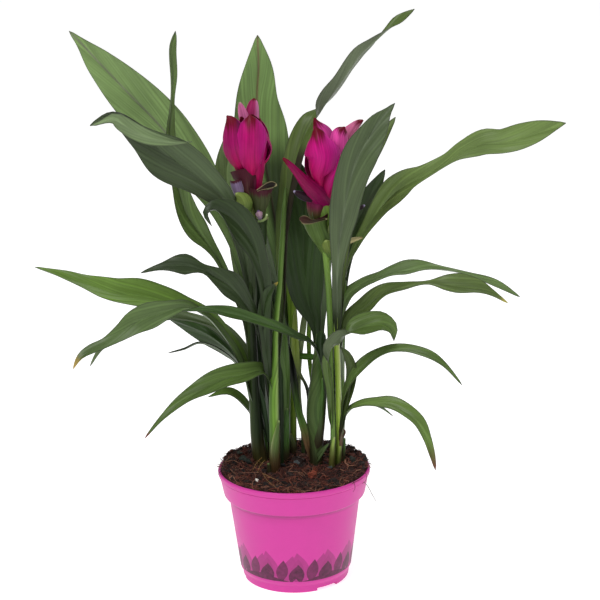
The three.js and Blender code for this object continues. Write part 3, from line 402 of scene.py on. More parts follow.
def columns_across(half, between):
    """Distances from the midrib: close together beside it and at the margin, even between."""
    near = [np.zeros_like(half), np.minimum(0.7, 0.12 * half), np.minimum(1.6, 0.28 * half)]
    inner = half - np.minimum(0.7, 0.07 * half)
    spread = [near[2] + (inner - near[2]) * k / between for k in range(1, between + 1)]
    side = np.stack([*near, *spread, half], -1)
    return np.concatenate([-side[:, :0:-1], side], 1)


def faced(point, tangent, turn):
    """Directions out of a blade's face and to its side, turned from where it faces the viewer."""
    to_eye = EYE - point
    to_eye = unit(to_eye - tangent * np.sum(to_eye * tangent, 1, keepdims=True))
    normal = to_eye * np.cos(turn) + np.cross(tangent, to_eye) * np.sin(turn)
    return normal[:, None], np.cross(tangent, normal)[:, None]


# %% Build one leaf blade
SHEATH_FOLD, SHEATH_SHARE = math.radians(62), 0.22
BLADE_THICK, MARGIN_THICK = 0.55, 0.3  # mm, as are the next two lines
TIP_LENGTH, LEAST_WIDTH = 2.6, 0.9
CHANNEL_DEPTH, CHANNEL_HALF, RIB_HEIGHT, RIB_HALF = 0.45, 0.9, 0.85, 1.3
MARGIN_PHASE, FLUTTER, FLUTTER_LENGTH = 2.0, 0.35, 31.0  # the margins wave apart, and flutter a little
ROW_STEP, FEWEST_ROWS, MOST_ROWS = 3.4, 16, 96
BROAD_FROM, BROAD_COLUMNS, NARROW_COLUMNS = 17, 8, 5  # a blade over 17 mm gets more columns


def add_leaf(bench, name, bend, upper, under, *rows, **look):
    """bend is degrees of crease, degrees of curl, millimetres of wave and how many waves there are."""
    route = Route([[*from_picture(*row[:3]), *row[3:]] for row in rows])
    count = int(np.clip(route.length / ROW_STEP, FEWEST_ROWS, MOST_ROWS))
    share = np.linspace(0, 1, count + 1)
    placed = route.at(share)
    point = placed[:, :3]
    left = (1 - share) * route.length
    taper = np.minimum(1, (left + 0.6) / TIP_LENGTH) * (0.3 + 0.7 * smooth(share, 0, 0.08))
    width = np.maximum(placed[:, 3], LEAST_WIDTH) * taper
    half = width[:, None] / 2
    normal, side = faced(point, route.heading(share), np.radians(placed[:, 4:]))

    crease, curl, wave, waves = bend
    sheath = 1 - smooth(share, 0, SHEATH_SHARE)[:, None]
    fold = math.radians(crease) * (1 - sheath) + SHEATH_FOLD * sheath
    curl = math.radians(curl) * (1 - sheath)
    x = columns_across(half[:, 0], BROAD_COLUMNS if width.max() > BROAD_FROM else NARROW_COLUMNS)
    y = share[:, None] * route.length + 0 * x
    s = x / half
    over, lift = section(s, half, fold, curl)
    margin_lift = section(np.ones_like(fold), half, fold, curl)[1]
    wave = wave * s**2 * np.sin(2 * np.pi * waves * share[:, None] + np.where(s > 0, 0, MARGIN_PHASE))
    wave = wave + FLUTTER * s**4 * np.sin(2 * np.pi * y / FLUTTER_LENGTH + np.where(s > 0, 1.1, 3.7))
    up = lift - margin_lift / 2 + wave * np.minimum(1, width / 20)[:, None]
    grid = point[:, None] + side * over[..., None] + normal * up[..., None]

    stout = np.minimum(1, width / 14)[:, None]
    thick = MARGIN_THICK + (BLADE_THICK - MARGIN_THICK) * (1 - s**2)
    channel = -CHANNEL_DEPTH * stout * np.exp(-((x / CHANNEL_HALF) ** 2))
    rib = RIB_HEIGHT * stout * np.exp(-((x / RIB_HALF) ** 2))
    points = np.stack(thick_sheet(grid, thick, channel, rib))
    along = left[:, None], share[:, None]
    tints = [blade_tints(tone, look, x, half, *along, grid) for tone in (upper, under)]
    grains = np.broadcast_to(np.stack([x, y, 0 * x], -1), points.shape)
    bench.add(points, sheet_faces(*x.shape), np.stack(tints), grains)
    bench.names.append(name)


# %% [markdown]
# ## The leafy stems
# What looks like a stem is a false one: leaf sheaths rolled tightly round each other. So each tube gets
# fine ribs along it and the step of the outermost sheath's edge, and is red-brown at its foot.

# %% Build one false stem
STEM_SIDES, STEM_ROW_STEP, SHEATH_STEP = 29, 5.0, 0.09
SHEATH_EDGE_TURN, SHEATH_EDGE_TONE = 0.6, "#A9A67C"
FOOT_BELOW, SOIL_EDGE = 22.0, 85.0  # mm: how deep a foot reaches, and where the soil meets the pot
UPPER_PART, FOOT_PART = (180, 290), (90, 120)  # mm above the table, where a stem changes its tone
LIT_MIDDLE, LIT_HALF = 125, 24  # mm above the table, where light reaches in under the leaves


def stem_rows(foot, *rows):
    """foot is x, y and radius in millimetres; a row is a picture point, its distance ahead and a radius."""
    x, y, radius = foot
    buried = [[x, y, SOIL_EDGE - FOOT_BELOW, 0.9 * radius], [x, y, SOIL_EDGE - 4, radius]]
    return buried + [[*from_picture(px, py, ahead), radius] for px, py, ahead, radius in rows]


def add_stem(bench, rows, *bands, kind=SHEATH, **look):
    """Bands are tones at degrees round the stem: 0 faces the viewer, 90 is to the right, 180 behind."""
    route = Route(rows)
    share = np.linspace(0, 1, max(6, int(route.length / STEM_ROW_STEP)) + 1)
    placed = route.at(share)
    tangent = route.heading(share)
    u = unit(np.array([1.0, 0, 0]) - tangent * tangent[:, :1])
    v = np.cross(tangent, u)
    part = np.arange(STEM_SIDES) / (STEM_SIDES - 1)
    y = share[:, None] * route.length + 0 * part
    angle = 2 * np.pi * part + SHEATH_EDGE_TURN + 0.001 * y
    radius = placed[:, 3:4] * (1 + SHEATH_STEP * (part - 0.5) + 0.02 * np.sin(7 * angle))
    around = u[:, None] * np.cos(angle)[..., None] + v[:, None] * np.sin(angle)[..., None]
    points = placed[:, None, :3] + around * radius[..., None]
    z = points[..., 2]
    # The bands are partly the sheaths' own colour, partly painted light and shade: a pale highlight on the
    # lit side, near-black shade on the side away from the light.
    ways, tones = [way for way, _ in bands], np.array([colour(tone) for _, tone in bands])
    way = np.degrees(angle) + 90
    tint = np.stack([np.interp(way, ways, channel, period=360) for channel in tones.T], -1)
    if "top" in look:
        tint = blend(tint, colour(look["top"]), smooth(z, *UPPER_PART))
    tint = tint * (1 + look.get("lift", 0) * np.exp(-(((z - LIT_MIDDLE) / LIT_HALF) ** 2)))[..., None]
    tint = blend(tint, colour(SHEATH_EDGE_TONE), 0.5 * smooth(part + 0 * z, 0.95, 1.0))
    if "foot" in look:
        tint = blend(tint, colour(look["foot"]), 0.85 * (1 - smooth(z + 4 * np.sin(3 * angle), *FOOT_PART)))
    x = placed[:, 3:4] * (angle - SHEATH_EDGE_TURN)
    bench.add(points, tube_faces(*x.shape), tint, np.stack([x + VEIN_SWEEP * y, y, 0 * x], -1), kind)


# %% [markdown]
# ## A cupped sheet
# Sheath edges on the stems and the flower's bracts are the same thing: a small leaf cupped round what it
# holds. Its rows are a picture point, the distance ahead of the pot's axis, and the visible width there
# in picture pixels, because that is how it is read. Its hollow side faces the viewer at turn 0.

# %% Tones of the cupped sheets
LOOKS = {}


def new_look(kind, name, outer, low, edge, inner=None, point=None, **more):
    """Tones of both faces, of the lower part, the edge and the point."""
    tones = {"outer": outer, "inner": inner or outer, "low": low, "edge": edge, "point": point or edge}
    LOOKS[name] = {"kind": kind, **tones, **more}


# Sheath edges and odd ends on the stems: outer face, lower part, edge
new_look(SHEATH, "fresh", "#4C6230", "#4A4222", "#7A8C54", sides=("#7C8850", "#30261A"), foot="#3A2216")
new_look(SHEATH, "olive", "#6E7E48", "#5E5A34", "#8A905C", foot="#3A261E", foot_top=106)
new_look(SHEATH, "reed", "#76845A", "#3A4A28", "#566842")
new_look(SHEATH, "grey", "#34482E", "#26361E", "#4A5A40")
new_look(SHEATH, "green", "#40602A", "#385424", "#6C7E4E", foot="#30201A", foot_top=106)
new_look(
    SHEATH, "broad", "#3E5C28", "#30281A", "#5C7040", sides=("#476A30", "#2C2019"), foot="#2C2018",
    foot_top=150,
)
# shade: a dark sheet behind the stems that fills the gaps between them with painted shade.
new_look(SHEATH, "shade", "#22321A", "#1A2612", "#2C3E1C")
new_look(SHEATH, "leafy", "#3C601A", "#3C601A", "#527E2A")
new_look(SHEATH, "dark", "#10160C", "#10160C", "#182010")
new_look(SHEATH, "lime", "#587822", "#4A6A26", "#7C9048")
# light: tones raised so that it looks lit where the stems round it would shade it: painted light over a pale
# yellow-green sheath.
new_look(SHEATH, "light", "#9CB85A", "#76903E", "#98A468", sides=("#A8BC68", "#5E7A30"), foot="#44381C")
new_look(SHEATH, "dry", "#5A3A30", "#5A3A30", "#7A5A48")
# Bracts: outer face, lower part, edge, inner face, point
new_look(PINK, "pink", "#A40E60", "#A00844", "#B8307E", "#A0105E", "#A97F68", stain=(12, 6))
new_look(PINK, "pale", "#C86698", "#A02C6C", "#C878A0", "#C86698", "#B89A90")
new_look(PINK, "spreading", "#780940", "#800A4C", "#4C0A1C", "#4A0E2E", "#C09A70")
new_look(POUCH, "funnel", "#6E1440", "#5E7030", "#5E1438", "#6A1F48", "#6A1E4A")
new_look(POUCH, "pouch", "#4E6430", "#58702F", "#7C7C58", "#40202C", "#7C7C58")
new_look(POUCH, "olive_pouch", "#3C4828", "#4C5C2C", "#6C6C4C", "#40202C", "#6C6C4C")
new_look(POUCH, "bulb", "#68783A", "#46602A", "#74885A", "#4C6628", "#8C9C58")
# lip: a strip at the mouth of a pouch. Its near-black faces are painted shade inside the mouth; its pale edge
# is the rim.
new_look(POUCH, "lip", "#2A2216", "#38201C", "#8C8460", "#160E0A", "#8C8460", edge_from=0.66)
new_look(POUCH, "margin", "#6C7C4C", "#5C6C40", "#98A478", "#6C7C4C", "#A8B888")
new_look(POUCH, "floret", "#6E5C78", "#7C7088", "#A89CB0", "#A89CB8", "#4A3A5E")
new_look(POUCH, "violet", "#22121A", "#301420", "#6A5E78", "#1E1018", "#8C84A0")
new_look(POUCH, "dried", "#A39A6E", "#7C7A4C", "#B8AE86", "#A39A6E", "#8A7A50")
print("tones for", len(LOOKS), "kinds of sheath and bract")

# %% Thicken and paint a cupped sheet
CUP_ROWS, CUP_COLUMNS, CUP_THICK = 34, 19, 0.6
CUP_RIB_HIGH, CUP_RIB_HALF, CREASE = 0.35, 1.1, math.radians(4)
LOW_PART, EDGE_FROM, POINT_LENGTH = (0.1, 0.6), 0.86, (0.5, 1.8)  # shares of length and width, and mm
DIRT_FROM, DIRT_TOP = 94, 116  # mm above the table, up to where the soil has stained a sheath
NO_STAIN = (0.05, 5.0)  # mm down from the tip, and mm to each side of the midrib
CUP_SHARES = 1 - (1 - np.linspace(0, 1, CUP_ROWS + 1)) ** 1.3
CUP_ACROSS = np.sin(np.linspace(-1, 1, CUP_COLUMNS) * math.pi / 2) + np.zeros((CUP_ROWS + 1, 1))


def lay_cup(bench, grid, half, length, look):
    """Thickens a sheet's grid and paints it: upper face first, which is the inner one."""
    s, share = CUP_ACROSS, CUP_SHARES[:, None]
    x, y = s * half, share * length + 0 * s
    from_left = s * np.sign((grid[:, -1, 0] - grid[:, 0, 0]).sum())
    rib = CUP_RIB_HIGH * np.exp(-((x / CUP_RIB_HALF) ** 2))
    faces = thick_sheet(grid, CUP_THICK * (0.5 + 0.5 * (1 - s**2)), 0 * s, rib)
    left = length - y
    tints = []
    for face in ("inner", "outer"):
        tint = np.broadcast_to(colour(look[face]), (*s.shape, 3))
        # The two side tones are partly the sheet's own colour, partly painted light and shade: one half
        # lighter, the other darker.
        for side, tone in zip((-1, 1), look.get("sides", ())):
            tint = blend(tint, colour(tone), smooth(side * from_left, 0.15, 0.8))
        tint = blend(tint, colour(look["low"]), 0.85 * (1 - smooth(share + 0 * s, *LOW_PART)))
        edge_from = look.get("edge_from", EDGE_FROM)
        tint = blend(tint, colour(look["edge"]), 0.7 * smooth(np.abs(s), edge_from, 1.0))
        if "foot" in look:
            dirty = 1 - smooth(grid[..., 2], DIRT_FROM, look.get("foot_top", DIRT_TOP))
            tint = blend(tint, colour(look["foot"]), 0.85 * dirty)
        tints.append(blend(tint, colour(look["point"]), 1 - smooth(left, *POINT_LENGTH)))
    long, wide = look.get("stain", NO_STAIN)
    grains = np.stack([x, y, left / long + 0.8 * (x / wide) ** 2], -1)
    faces, tints, grains = np.stack(faces), np.stack(tints), np.stack([grains, grains])
    bench.add(faces, sheet_faces(*s.shape), tints, grains, look["kind"])


# %% A cupped sheet read off the picture
PIXEL_SIZE = 0.748  # mm that a picture pixel covers at the pot's axis
TIP_ROUND, CUP_WAVE, CUP_WAVE_HIGH = 1.2, 17.0, 0.35  # mm


def add_spoon(bench, name, look, turn, curl, *rows, open_end=False, **own):
    route = Route([[*from_picture(px, py, ahead), width * PIXEL_SIZE] for px, py, ahead, width in rows])
    placed = route.at(CUP_SHARES)
    turn, curl = math.radians(turn), math.radians(curl)
    narrowed = np.sinc(curl / (2 * np.pi)) * math.cos(CREASE + curl / 2) * max(0.6, abs(math.cos(turn)))
    taper = 1 if open_end else np.minimum(1, ((1 - CUP_SHARES) * route.length + 0.3) / TIP_ROUND)
    half = (np.maximum(placed[:, 3], 0.8) * taper / narrowed / 2)[:, None]
    normal, side = faced(placed[:, :3], route.heading(CUP_SHARES, 0.02), turn)
    over, up = section(CUP_ACROSS, half, CREASE, curl)
    phase = (2 * np.pi * CUP_SHARES * route.length / CUP_WAVE)[:, None]
    wave = CUP_WAVE_HIGH * CUP_ACROSS**4 * np.sin(phase + 2 * np.sign(CUP_ACROSS))
    up = up + wave * np.minimum(1, half / 8)
    grid = placed[:, None, :3] + side * over[..., None] + normal * up[..., None]
    lay_cup(bench, grid, half, route.length, {**LOOKS[look], **own})
    bench.names.append(name)


def add_sheath(bench, look, curl, *rows, open_end=False):
    add_spoon(bench, f"{look}_sheath", look, 180, curl, *rows, open_end=open_end)


# %% [markdown]
# ## The plant, stem by stem
# Seven leafy stems carry the leaves. One cell makes one of them: first the false stem, from its foot in
# the soil up, then its leaves, and last the loose edges of sheaths that clasp it, with dark sheets of
# painted shade where the gaps between the stems lie in shade. Each part has a look of its own, because
# light and age colour the leaves of one plant quite differently.

# %% Left stem: the big upright leaf, the broad one under it and its flap
shoot = Bench()
rows = stem_rows(
    (-26, 10, 5.8), [257.4, 440, -10, 5.3], [255.6, 415, -10.5, 4.8], [254, 390, -11, 4.3],
    [252, 340, -10, 3.6], [250, 300, -9, 2.8], [250, 268, -8, 1.4],
)
add_stem(
    shoot, rows, (-88, "#6C7862"), (-66, "#35441F"), (-20, "#283818"), (30, "#161F0E"), (100, "#10160C"),
    (180, "#34461F"), foot="#3C3418", top="#3C5026",
)
add_leaf(
    shoot, "flapped_high_left", (12, 12, 2.5, 1.5), "#3C492F", "#5A6652", [252, 340, -9, 7, 60],
    [250, 285, -6, 10, 35], [241, 237, 5, 14, 25], [224, 200, 18, 19, 10], [198, 176, 27, 29, 5],
    [167, 156, 34, 35.5, -10], [140, 135.5, 37, 21.5, -25], [114, 117.5, 39, 11, -20],
    [90, 125.5, 40, 2, 0], halves=(0.9, 1.35),
)
add_leaf(
    shoot, "broad_high_left", (13, 6, 2, 1.5), "#6A824D", "#687A55", [253, 350, -12, 7, 40],
    [248, 290, -19, 10, 35], [234, 240, -25, 13, 30], [216, 200, -29, 22, 20], [192, 164.5, -32, 34, 12],
    [162, 127.5, -35, 39.5, 8], [130.5, 95, -38, 35.5, 5], [98, 61.5, -42, 21.5, 0],
    [80.5, 42.5, -45, 8, 0], [69, 31, -48, 1.5, 0], rib="#65605A",
)
add_leaf(
    shoot, "twisted_high_left", (20, 0, 1.5, 2), "#576E38", "#687A55", [252, 375, -12, 5, 80],
    [245, 325, -10, 6, 60], [233, 289, -4, 7, 45], [218.5, 259, -1, 9, 35], [209, 245, -1, 12, 20],
    [197, 230, 0, 19, 10], [186, 211, 0, 19, 20], [178, 184, 2, 13, 30], [172.5, 158, 2, 13, 40],
    [170, 135, 2, 11, 50], [172, 103, 3, 7, 60], [173.3, 77, 5, 9, 50], [171.8, 48, 7, 10, 48],
    [175.5, 31, 8, 1.5, 40], rib="#3E4A2C",
)
add_leaf(
    shoot, "long_low_left", (14, 10, 2.5, 2), "#617E35", "#687A55", [257, 425, -13, 7, 60],
    [248, 376, -14, 10, 60], [237, 347, -15, 13, 60], [219, 322, -15, 15, 58], [202, 310, -14, 15, 50],
    [183, 304, -11, 18, 45], [160, 298, -5, 23, 42], [138, 294, 1, 26, 42], [116, 291, 8, 24.5, 45],
    [94, 285, 12, 21.5, 48], [70, 277.5, 17, 16.5, 50], [35, 267, 24, 1.5, 60],
)
add_leaf(
    shoot, "bent_low_left", (14, 8, 1.5, 2), "#516539", "#5B6E4C", [257, 430, -11, 6, 85],
    [247, 380, -8, 9, 75], [235, 350, -2, 12, 62], [214, 322, 9, 11, 65], [198, 310, 15, 9, 60],
    [186, 306, 19, 11, 45], [168, 310, 25, 15, 25], [150, 316, 31, 21, 18], [135, 322.5, 37, 19.5, 15],
    [122, 332, 41, 14, 15], [106, 342.5, 45, 9.5, 25], [90.5, 350, 48, 10, 35], [80, 357.5, 52, 7, 45],
    [73, 369, 54, 1.5, 50], tip=("#A98F4A", 12),
)
add_sheath(
    shoot, "shade", 50, [262, 474, -16, 8.5], [263, 440, -17, 9], [263, 400, -18, 9.5],
    [262, 360, -19, 9.5], [260, 320, -20, 9.5], [258.4, 290, -21, 9], [257.6, 268, -22, 7],
    [257.4, 250, -22, 1],
)
# This flap has fallen forward over the broad leaf, so its underside shows.
add_leaf(
    shoot, "fallen_flap", (2, -10, 0.3, 2), "#63754F", "#63754F", [192, 141.8, 31, 0.9, 180],
    [182, 142.6, 37, 2.8, 178], [172, 142.3, 39, 5.2, 175], [161, 140.2, 40.5, 8.6, 172],
    [151, 138, 41.5, 10.8, 170], [141, 134.4, 42.2, 12, 168], [131, 129.2, 42.6, 12.2, 168],
    [122, 123.2, 43, 11.6, 168], [115, 118.6, 43, 9, 170], [108, 119.4, 43, 5, 172],
    [100, 122.6, 42.6, 2.6, 175], [90, 126, 41.5, 0.9, 180],
)
shoot.piece("shoot_left_leaves", [leaf_finish, stem_finish], "shoot_left")

# %% Left back stem: an upright narrow leaf over low ones
shoot = Bench()
rows = stem_rows((-20.5, 30, 4.2), [268, 420, -29, 4.2], [263, 375, -30, 3.8], [257, 335, -29, 3])
add_stem(
    shoot, rows, (-90, "#1A2412"), (0, "#1A2412"), (90, "#161E10"), (180, "#3A4A24"), foot="#241A12",
    top="#3C5026",
)
add_leaf(
    shoot, "upright_back_left", (18, 0, 1, 1.5), "#6B7E50", "#687A55", [261, 375, -30, 6, 30],
    [252, 325, -30, 9, 20], [243, 290, -31, 10, 10], [237.5, 260, -34, 10, 5], [233, 225, -39, 12, 5],
    [227.5, 190, -44, 19, 0], [227, 165, -45, 19, 0], [230, 142, -43, 12, 0], [234, 122, -41, 1.5, 0],
)
add_leaf(
    shoot, "far_low_left", (16, 0, 1.5, 2), "#5D6D48", "#5B6E4C", [264, 400, -30, 7, 80],
    [248, 360, -31, 14, 50], [223, 331, -32, 20, 52], [191, 319, -29, 16, 60], [158, 318, -26, 16, 60],
    [124, 335, -23, 13, 65], [103, 347, -24, 11, 60], [90, 366, -26, 1.5, 60],
)
add_leaf(
    shoot, "drooping_low_left", (18, 0, 1.5, 1), "#27361E", "#22380F", [265, 405, -31, 6, 100],
    [248, 372, -34, 12, 120], [230, 349, -40, 22, 140], [209, 333, -48, 24.5, 150],
    [188, 324, -56, 17.5, 150], [168, 318, -64, 1.5, 150],
)
add_leaf(
    shoot, "thin_low_left", (20, 0, 0.5, 1), "#324522", "#4A583F", [262, 410, -27, 5, 90],
    [244, 372, -25, 6, 90], [222, 351, -23, 7, 85], [200, 342.5, -21, 6, 80], [184, 349, -22, 4, 70],
    [168, 353, -22, 1.2, 60],
)
add_leaf(
    shoot, "small_low_left", (20, 0, 0.5, 1), "#597430", "#4A583F", [266, 445, -28, 5, 90],
    [255, 420, -27, 7, 80], [243, 401, -24, 13, 60], [228, 392, -20, 12, 55], [208, 397, -16, 1.5, 60],
)
add_sheath(
    shoot, "grey", 70, [268.5, 442, -12, 3], [266.5, 424, -12, 5.5], [264, 408, -12, 6.5],
    [261, 396, -12, 5], [258, 384, -12, 2], open_end=True,
)
add_sheath(
    shoot, "green", 60, [268, 458, -14, 3.5], [266, 445, -14, 4], [263.5, 436, -14, 4.2],
    [261, 429, -14, 3.6], [258.6, 426, -14, 1],
)
shoot.piece("shoot_left_back_leaves", [leaf_finish, stem_finish], "shoot_left_back")

# %% Front stem: the long twisted leaf to the top right, and the curled one in front
shoot = Bench()
rows = stem_rows(
    (-15.1, -8, 4.5), [274.3, 440, 7, 3.9], [273.8, 400, 8, 4], [274, 382, 8, 3.7], [275, 360, 8, 2.8],
    [275.4, 332, 8, 2.5], [277.4, 305, 7, 2.4], [279.6, 285, 6, 2.2], [281, 262, 4.5, 2.1],
    [282.6, 236, 1, 2], [284, 210, -5, 1.8], [285.6, 188, -12, 1],
)
add_stem(
    shoot, rows, (-88, "#42522A"), (-55, "#4A682E"), (-15, "#547628"), (20, "#668A32"), (48, "#82965A"),
    (62, "#4C6A2C"), (80, "#1E2A12"), (180, "#4A6428"), foot="#3E2416", top="#48602C",
)
add_leaf(
    shoot, "long_top_right", (18, 10, 2, 1.5), "#4E602D", "#58624B", [279.5, 358, 3, 4, -30],
    [281.5, 328, 4, 6, -30], [282.5, 298, 5, 8, -30], [282, 262, 1, 12, -35], [283, 225, -8, 16, -40],
    [288, 188, -16, 18, -40], [296, 152, -23, 19, -40], [304, 133, -27, 19, -42], [312, 119, -29, 19, -58],
    [320, 107, -31, 18, -112], [328, 96.5, -32, 16, -135], [339, 82.5, -34, 13, -138],
    [351, 64.5, -36, 13, -135], [360.5, 52, -38, 11, -138], [372.5, 42, -39, 8, -125],
    [384.5, 31, -41, 7, -70], [397.5, 20.5, -43, 10, -35], [414.5, 9, -46, 1.5, -30],
    half_tone=("#2C261C", 0.1, 0.57),
)
add_leaf(
    shoot, "curled_front_left", (22, 14, 1, 1), "#28361B", "#3A4733", [270.5, 398, 6, 4, 30],
    [269, 372, 9, 5, 30], [267, 345, 11, 8, 30], [266.5, 320, 14, 9, 25], [265, 285, 18, 12, 20],
    [257.5, 255, 24, 16, 15], [246, 232, 29, 25, 15], [231, 215, 33, 25, 30], [214, 207, 37, 15, 50],
    [206, 213, 39, 8, 60], [211.5, 226, 40, 1.5, 60],
)
add_leaf(
    shoot, "low_bright_left", (14, 8, 1.5, 1), "#4C632B", "#5B6E4C", [274, 430, 6, 5, 85],
    [273, 392, 7, 8, 85], [264, 370, 10, 14, 60], [243, 373, 16, 20, 45], [223, 378, 21, 22, 42],
    [202, 388, 28, 19.5, 42], [182, 400.5, 35, 13.5, 45], [161.5, 419, 44, 6.5, 45],
    [145, 438, 54, 1.5, 50], tip=("#6A2420", 6),
)
add_leaf(
    shoot, "dark_middle_left", (14, 4, 1.5, 2), "#303D24", "#3A4733", [269, 420, 4, 4, 80],
    [267, 395, 6, 5, 75], [264.5, 362, 9, 7, 70], [258, 325, 14, 10, 45], [245, 302, 18, 14, 35],
    [231, 286, 21, 21, 25], [216, 276, 22, 15, 40], [203, 269, 24, 11, 50], [184, 264.5, 25, 20, 34],
    [160, 267.5, 28, 9, 45], [140.5, 273, 30, 1.5, 50],
)
add_leaf(
    shoot, "small_yellow_tip", (20, 0, 0.5, 1), "#293B18", "#4A583F", [270.5, 402, 8, 4, 0],
    [269, 380, 10, 5, 0], [266.6, 355, 13, 7, 0], [265.4, 340, 14.5, 8, 0], [264, 315, 16, 11, 0],
    [268, 293, 17, 8, 0], [278, 282, 17, 1, 0], tip=("#B9A33F", 3.4),
)
add_sheath(
    shoot, "fresh", 88, [277, 482, 12, 8.5], [275.6, 470, 14, 9.6], [275.2, 458, 14, 10],
    [275.6, 447, 13.6, 9.2], [276.4, 438, 13, 7.4], [277.6, 429, 12.4, 4.4], [279, 420.5, 11.8, 1],
)
add_sheath(
    shoot, "shade", 50, [281, 474, -2, 5.5], [281, 440, -4, 5.5], [280.6, 400, -6, 6], [279, 360, -8, 7],
    [276.4, 330, -10, 7.5], [274.2, 305, -11, 7], [273, 289, -12, 4], [272.6, 281, -12, 1],
)
add_sheath(
    shoot, "green", 80, [270, 477, 12, 4.4], [269.4, 470, 12.5, 4.4], [268.9, 466, 12.6, 3.2],
    [268.3, 463, 12.6, 1],
)
shoot.piece("shoot_front_leaves", [leaf_finish, stem_finish], "shoot_front")

# %% Centre back stem: the tall central leaf
shoot = Bench()
rows = stem_rows(
    (-0.4, 26, 3.5), [293.2, 440, -26, 2.8], [293.3, 400, -28, 2.8], [294.6, 370, -29, 3.1],
    [294, 345, -31, 3.5], [293, 325, -33, 3.8], [291.6, 305, -35, 3.6], [288, 280, -37, 2.4],
    [285, 262, -38, 1.2],
)
add_stem(
    shoot, rows, (-85, "#34480F"), (-40, "#5A7A1C"), (5, "#76962E"), (40, "#8CA64A"), (62, "#566A24"),
    (85, "#1C2410"), (180, "#42561E"), foot="#33201A", top="#5C7628",
)
add_leaf(
    shoot, "tall_centre", (12, 8, 2.5, 2.5), "#68834A", "#687A55", [292, 340, -32, 8, 0],
    [286, 290, -37, 11, 0], [278, 240, -40, 16, 0], [271, 195, -44, 28, 0], [265, 160, -47, 41, 0],
    [260.5, 130, -49, 43, 0], [257, 100, -50, 34, 0], [258.5, 68, -52, 23, 0], [257.5, 35, -55, 2, 0],
    low_shade=(318, 352, 0.75), rib="#6B3B3A",
)
add_leaf(
    shoot, "leaning_back", (14, 6, 2, 2), "#43602C", "#515F45", [293, 365, -31, 6, 180],
    [284, 310, -42, 9, 180], [274, 255, -62, 22, 180], [266, 208, -82, 29, 180], [262, 170, -98, 22, 180],
    [262, 140, -110, 10, 180], [264, 122, -116, 1.5, 180],
)
add_sheath(
    shoot, "shade", 50, [290.4, 470, -28, 4.5], [290.4, 430, -29, 4.5], [290, 390, -30, 4.5],
    [289, 360, -32, 4], [288, 344, -33, 1],
)
add_sheath(
    shoot, "olive", 80, [293.6, 466, -21, 5.5], [293.8, 454, -21.5, 5.6], [293.4, 445, -22, 4.8],
    [292, 438.5, -22, 2.8], [290.4, 433.5, -22.5, 1],
)
shoot.piece("shoot_centre_back_leaves", [leaf_finish, stem_finish], "shoot_centre_back")

# %% Middle stem: the broad dark leaf between the flowers
shoot = Bench()
rows = stem_rows(
    (17.7, 5, 5), [316.2, 440, -8, 5.6], [315.7, 420, -9, 7.3], [316.6, 400, -11, 7.6],
    [318.2, 380, -12, 6.3], [318.2, 360, -14, 4.4], [318, 344, -17, 2.6], [316, 326, -20, 1],
)
add_stem(
    shoot, rows, (-88, "#1E2A16"), (-60, "#40502C"), (-20, "#44562C"), (5, "#40582A"), (40, "#4E6A2C"),
    (62, "#3E3A28"), (88, "#2E2224"), (180, "#3E5430"), foot="#221810", top="#3A4F28",
)
add_leaf(
    shoot, "dark_broad_middle", (12, 6, 2, 1.5), "#2D431A", "#3A4733", [318, 370, -14, 7, 0],
    [317, 346, -16, 6, 0], [316, 331, -17, 7, 0], [313.8, 319, -18.5, 12, 0], [309.7, 307.5, -20, 20, 0],
    [306.8, 295, -21, 26.5, 0], [305, 278, -22, 31, 0], [304, 260, -23.5, 31.5, 0],
    [303.5, 235, -25, 28, 0], [302, 198, -28, 20, 0], [302, 178, -30, 12.5, 0], [300, 162, -31, 1.5, 0],
)
add_leaf(
    shoot, "crossing_front_left", (14, 8, 1, 1), "#3B5326", "#4A583F", [320, 440, -8, 6, 80],
    [325, 400, -6, 6, 90], [323.5, 372, -3, 6, 90], [317, 350, 4, 7, 80], [308, 340, 10, 7, 65],
    [299, 336.5, 16, 8, 50], [283, 329, 24, 10, 42], [265, 322.5, 30, 11, 42], [246, 316.5, 33, 12, 42],
    [227, 312, 35, 13, 42], [205, 309.5, 37, 8, 50], [182, 311, 38, 1.2, 55],
)
add_leaf(
    shoot, "leaning_back_right", (14, 6, 2, 2), "#43602C", "#5B6E4C", [317, 405, -17, 4, 180],
    [319, 365, -24, 6, 180], [319, 330, -36, 9, 180], [316, 285, -56, 23, 180], [316, 240, -78, 28, 180],
    [319, 200, -98, 20, 180], [321, 172, -110, 1.5, 180],
)
# Its near-black upper part, where it runs in among the stems, is painted shade.
add_leaf(
    shoot, "leaning_dry_sheath", (30, 0, 0.5, 1), "#638B3B", "#5E542F", [314, 468, -6, 6, 0],
    [307, 438, -8, 8, 0], [298, 408, -12, 6, 0], [293, 372, -16, 6, 0], [289, 345, -18, 1.2, 0],
    tip=("#161C14", 66),
)
# Near-black low down among the stems: painted shade. Its upper part is its own green.
add_leaf(
    shoot, "strap_behind_middle", (16, 0, 0.5, 1), "#161C14", "#3A4733", [310, 440, -13, 3, 0],
    [309, 408, -15, 2.4, 0], [307.4, 391, -16, 2.4, 0], [304, 381, -17, 2.4, 0], [299.5, 374, -18, 3.4, 0],
    [296.4, 362, -18, 6, 0], [295, 340, -19, 6, 0], [295, 310, -21, 1.5, 0], heart=0, tip=("#6C7E30", 72),
)
add_leaf(
    shoot, "small_foot_leaf", (25, 0, 0, 1), "#68804D", "#3A5228", [315, 462, -4, 5, -30],
    [319, 456, 0, 6, -30], [325, 448, 4, 4, -30], [329.5, 443, 6, 1, -30], green_foot=True,
)
add_sheath(
    shoot, "broad", 80, [316, 466, -3, 8], [316.6, 450, -2.5, 11.5], [317.6, 436, -2, 12.5],
    [319.4, 422, -2.4, 11.4], [321.2, 408, -3.4, 8.6], [322.6, 394, -5, 5], [322.6, 378, -6.5, 1],
)
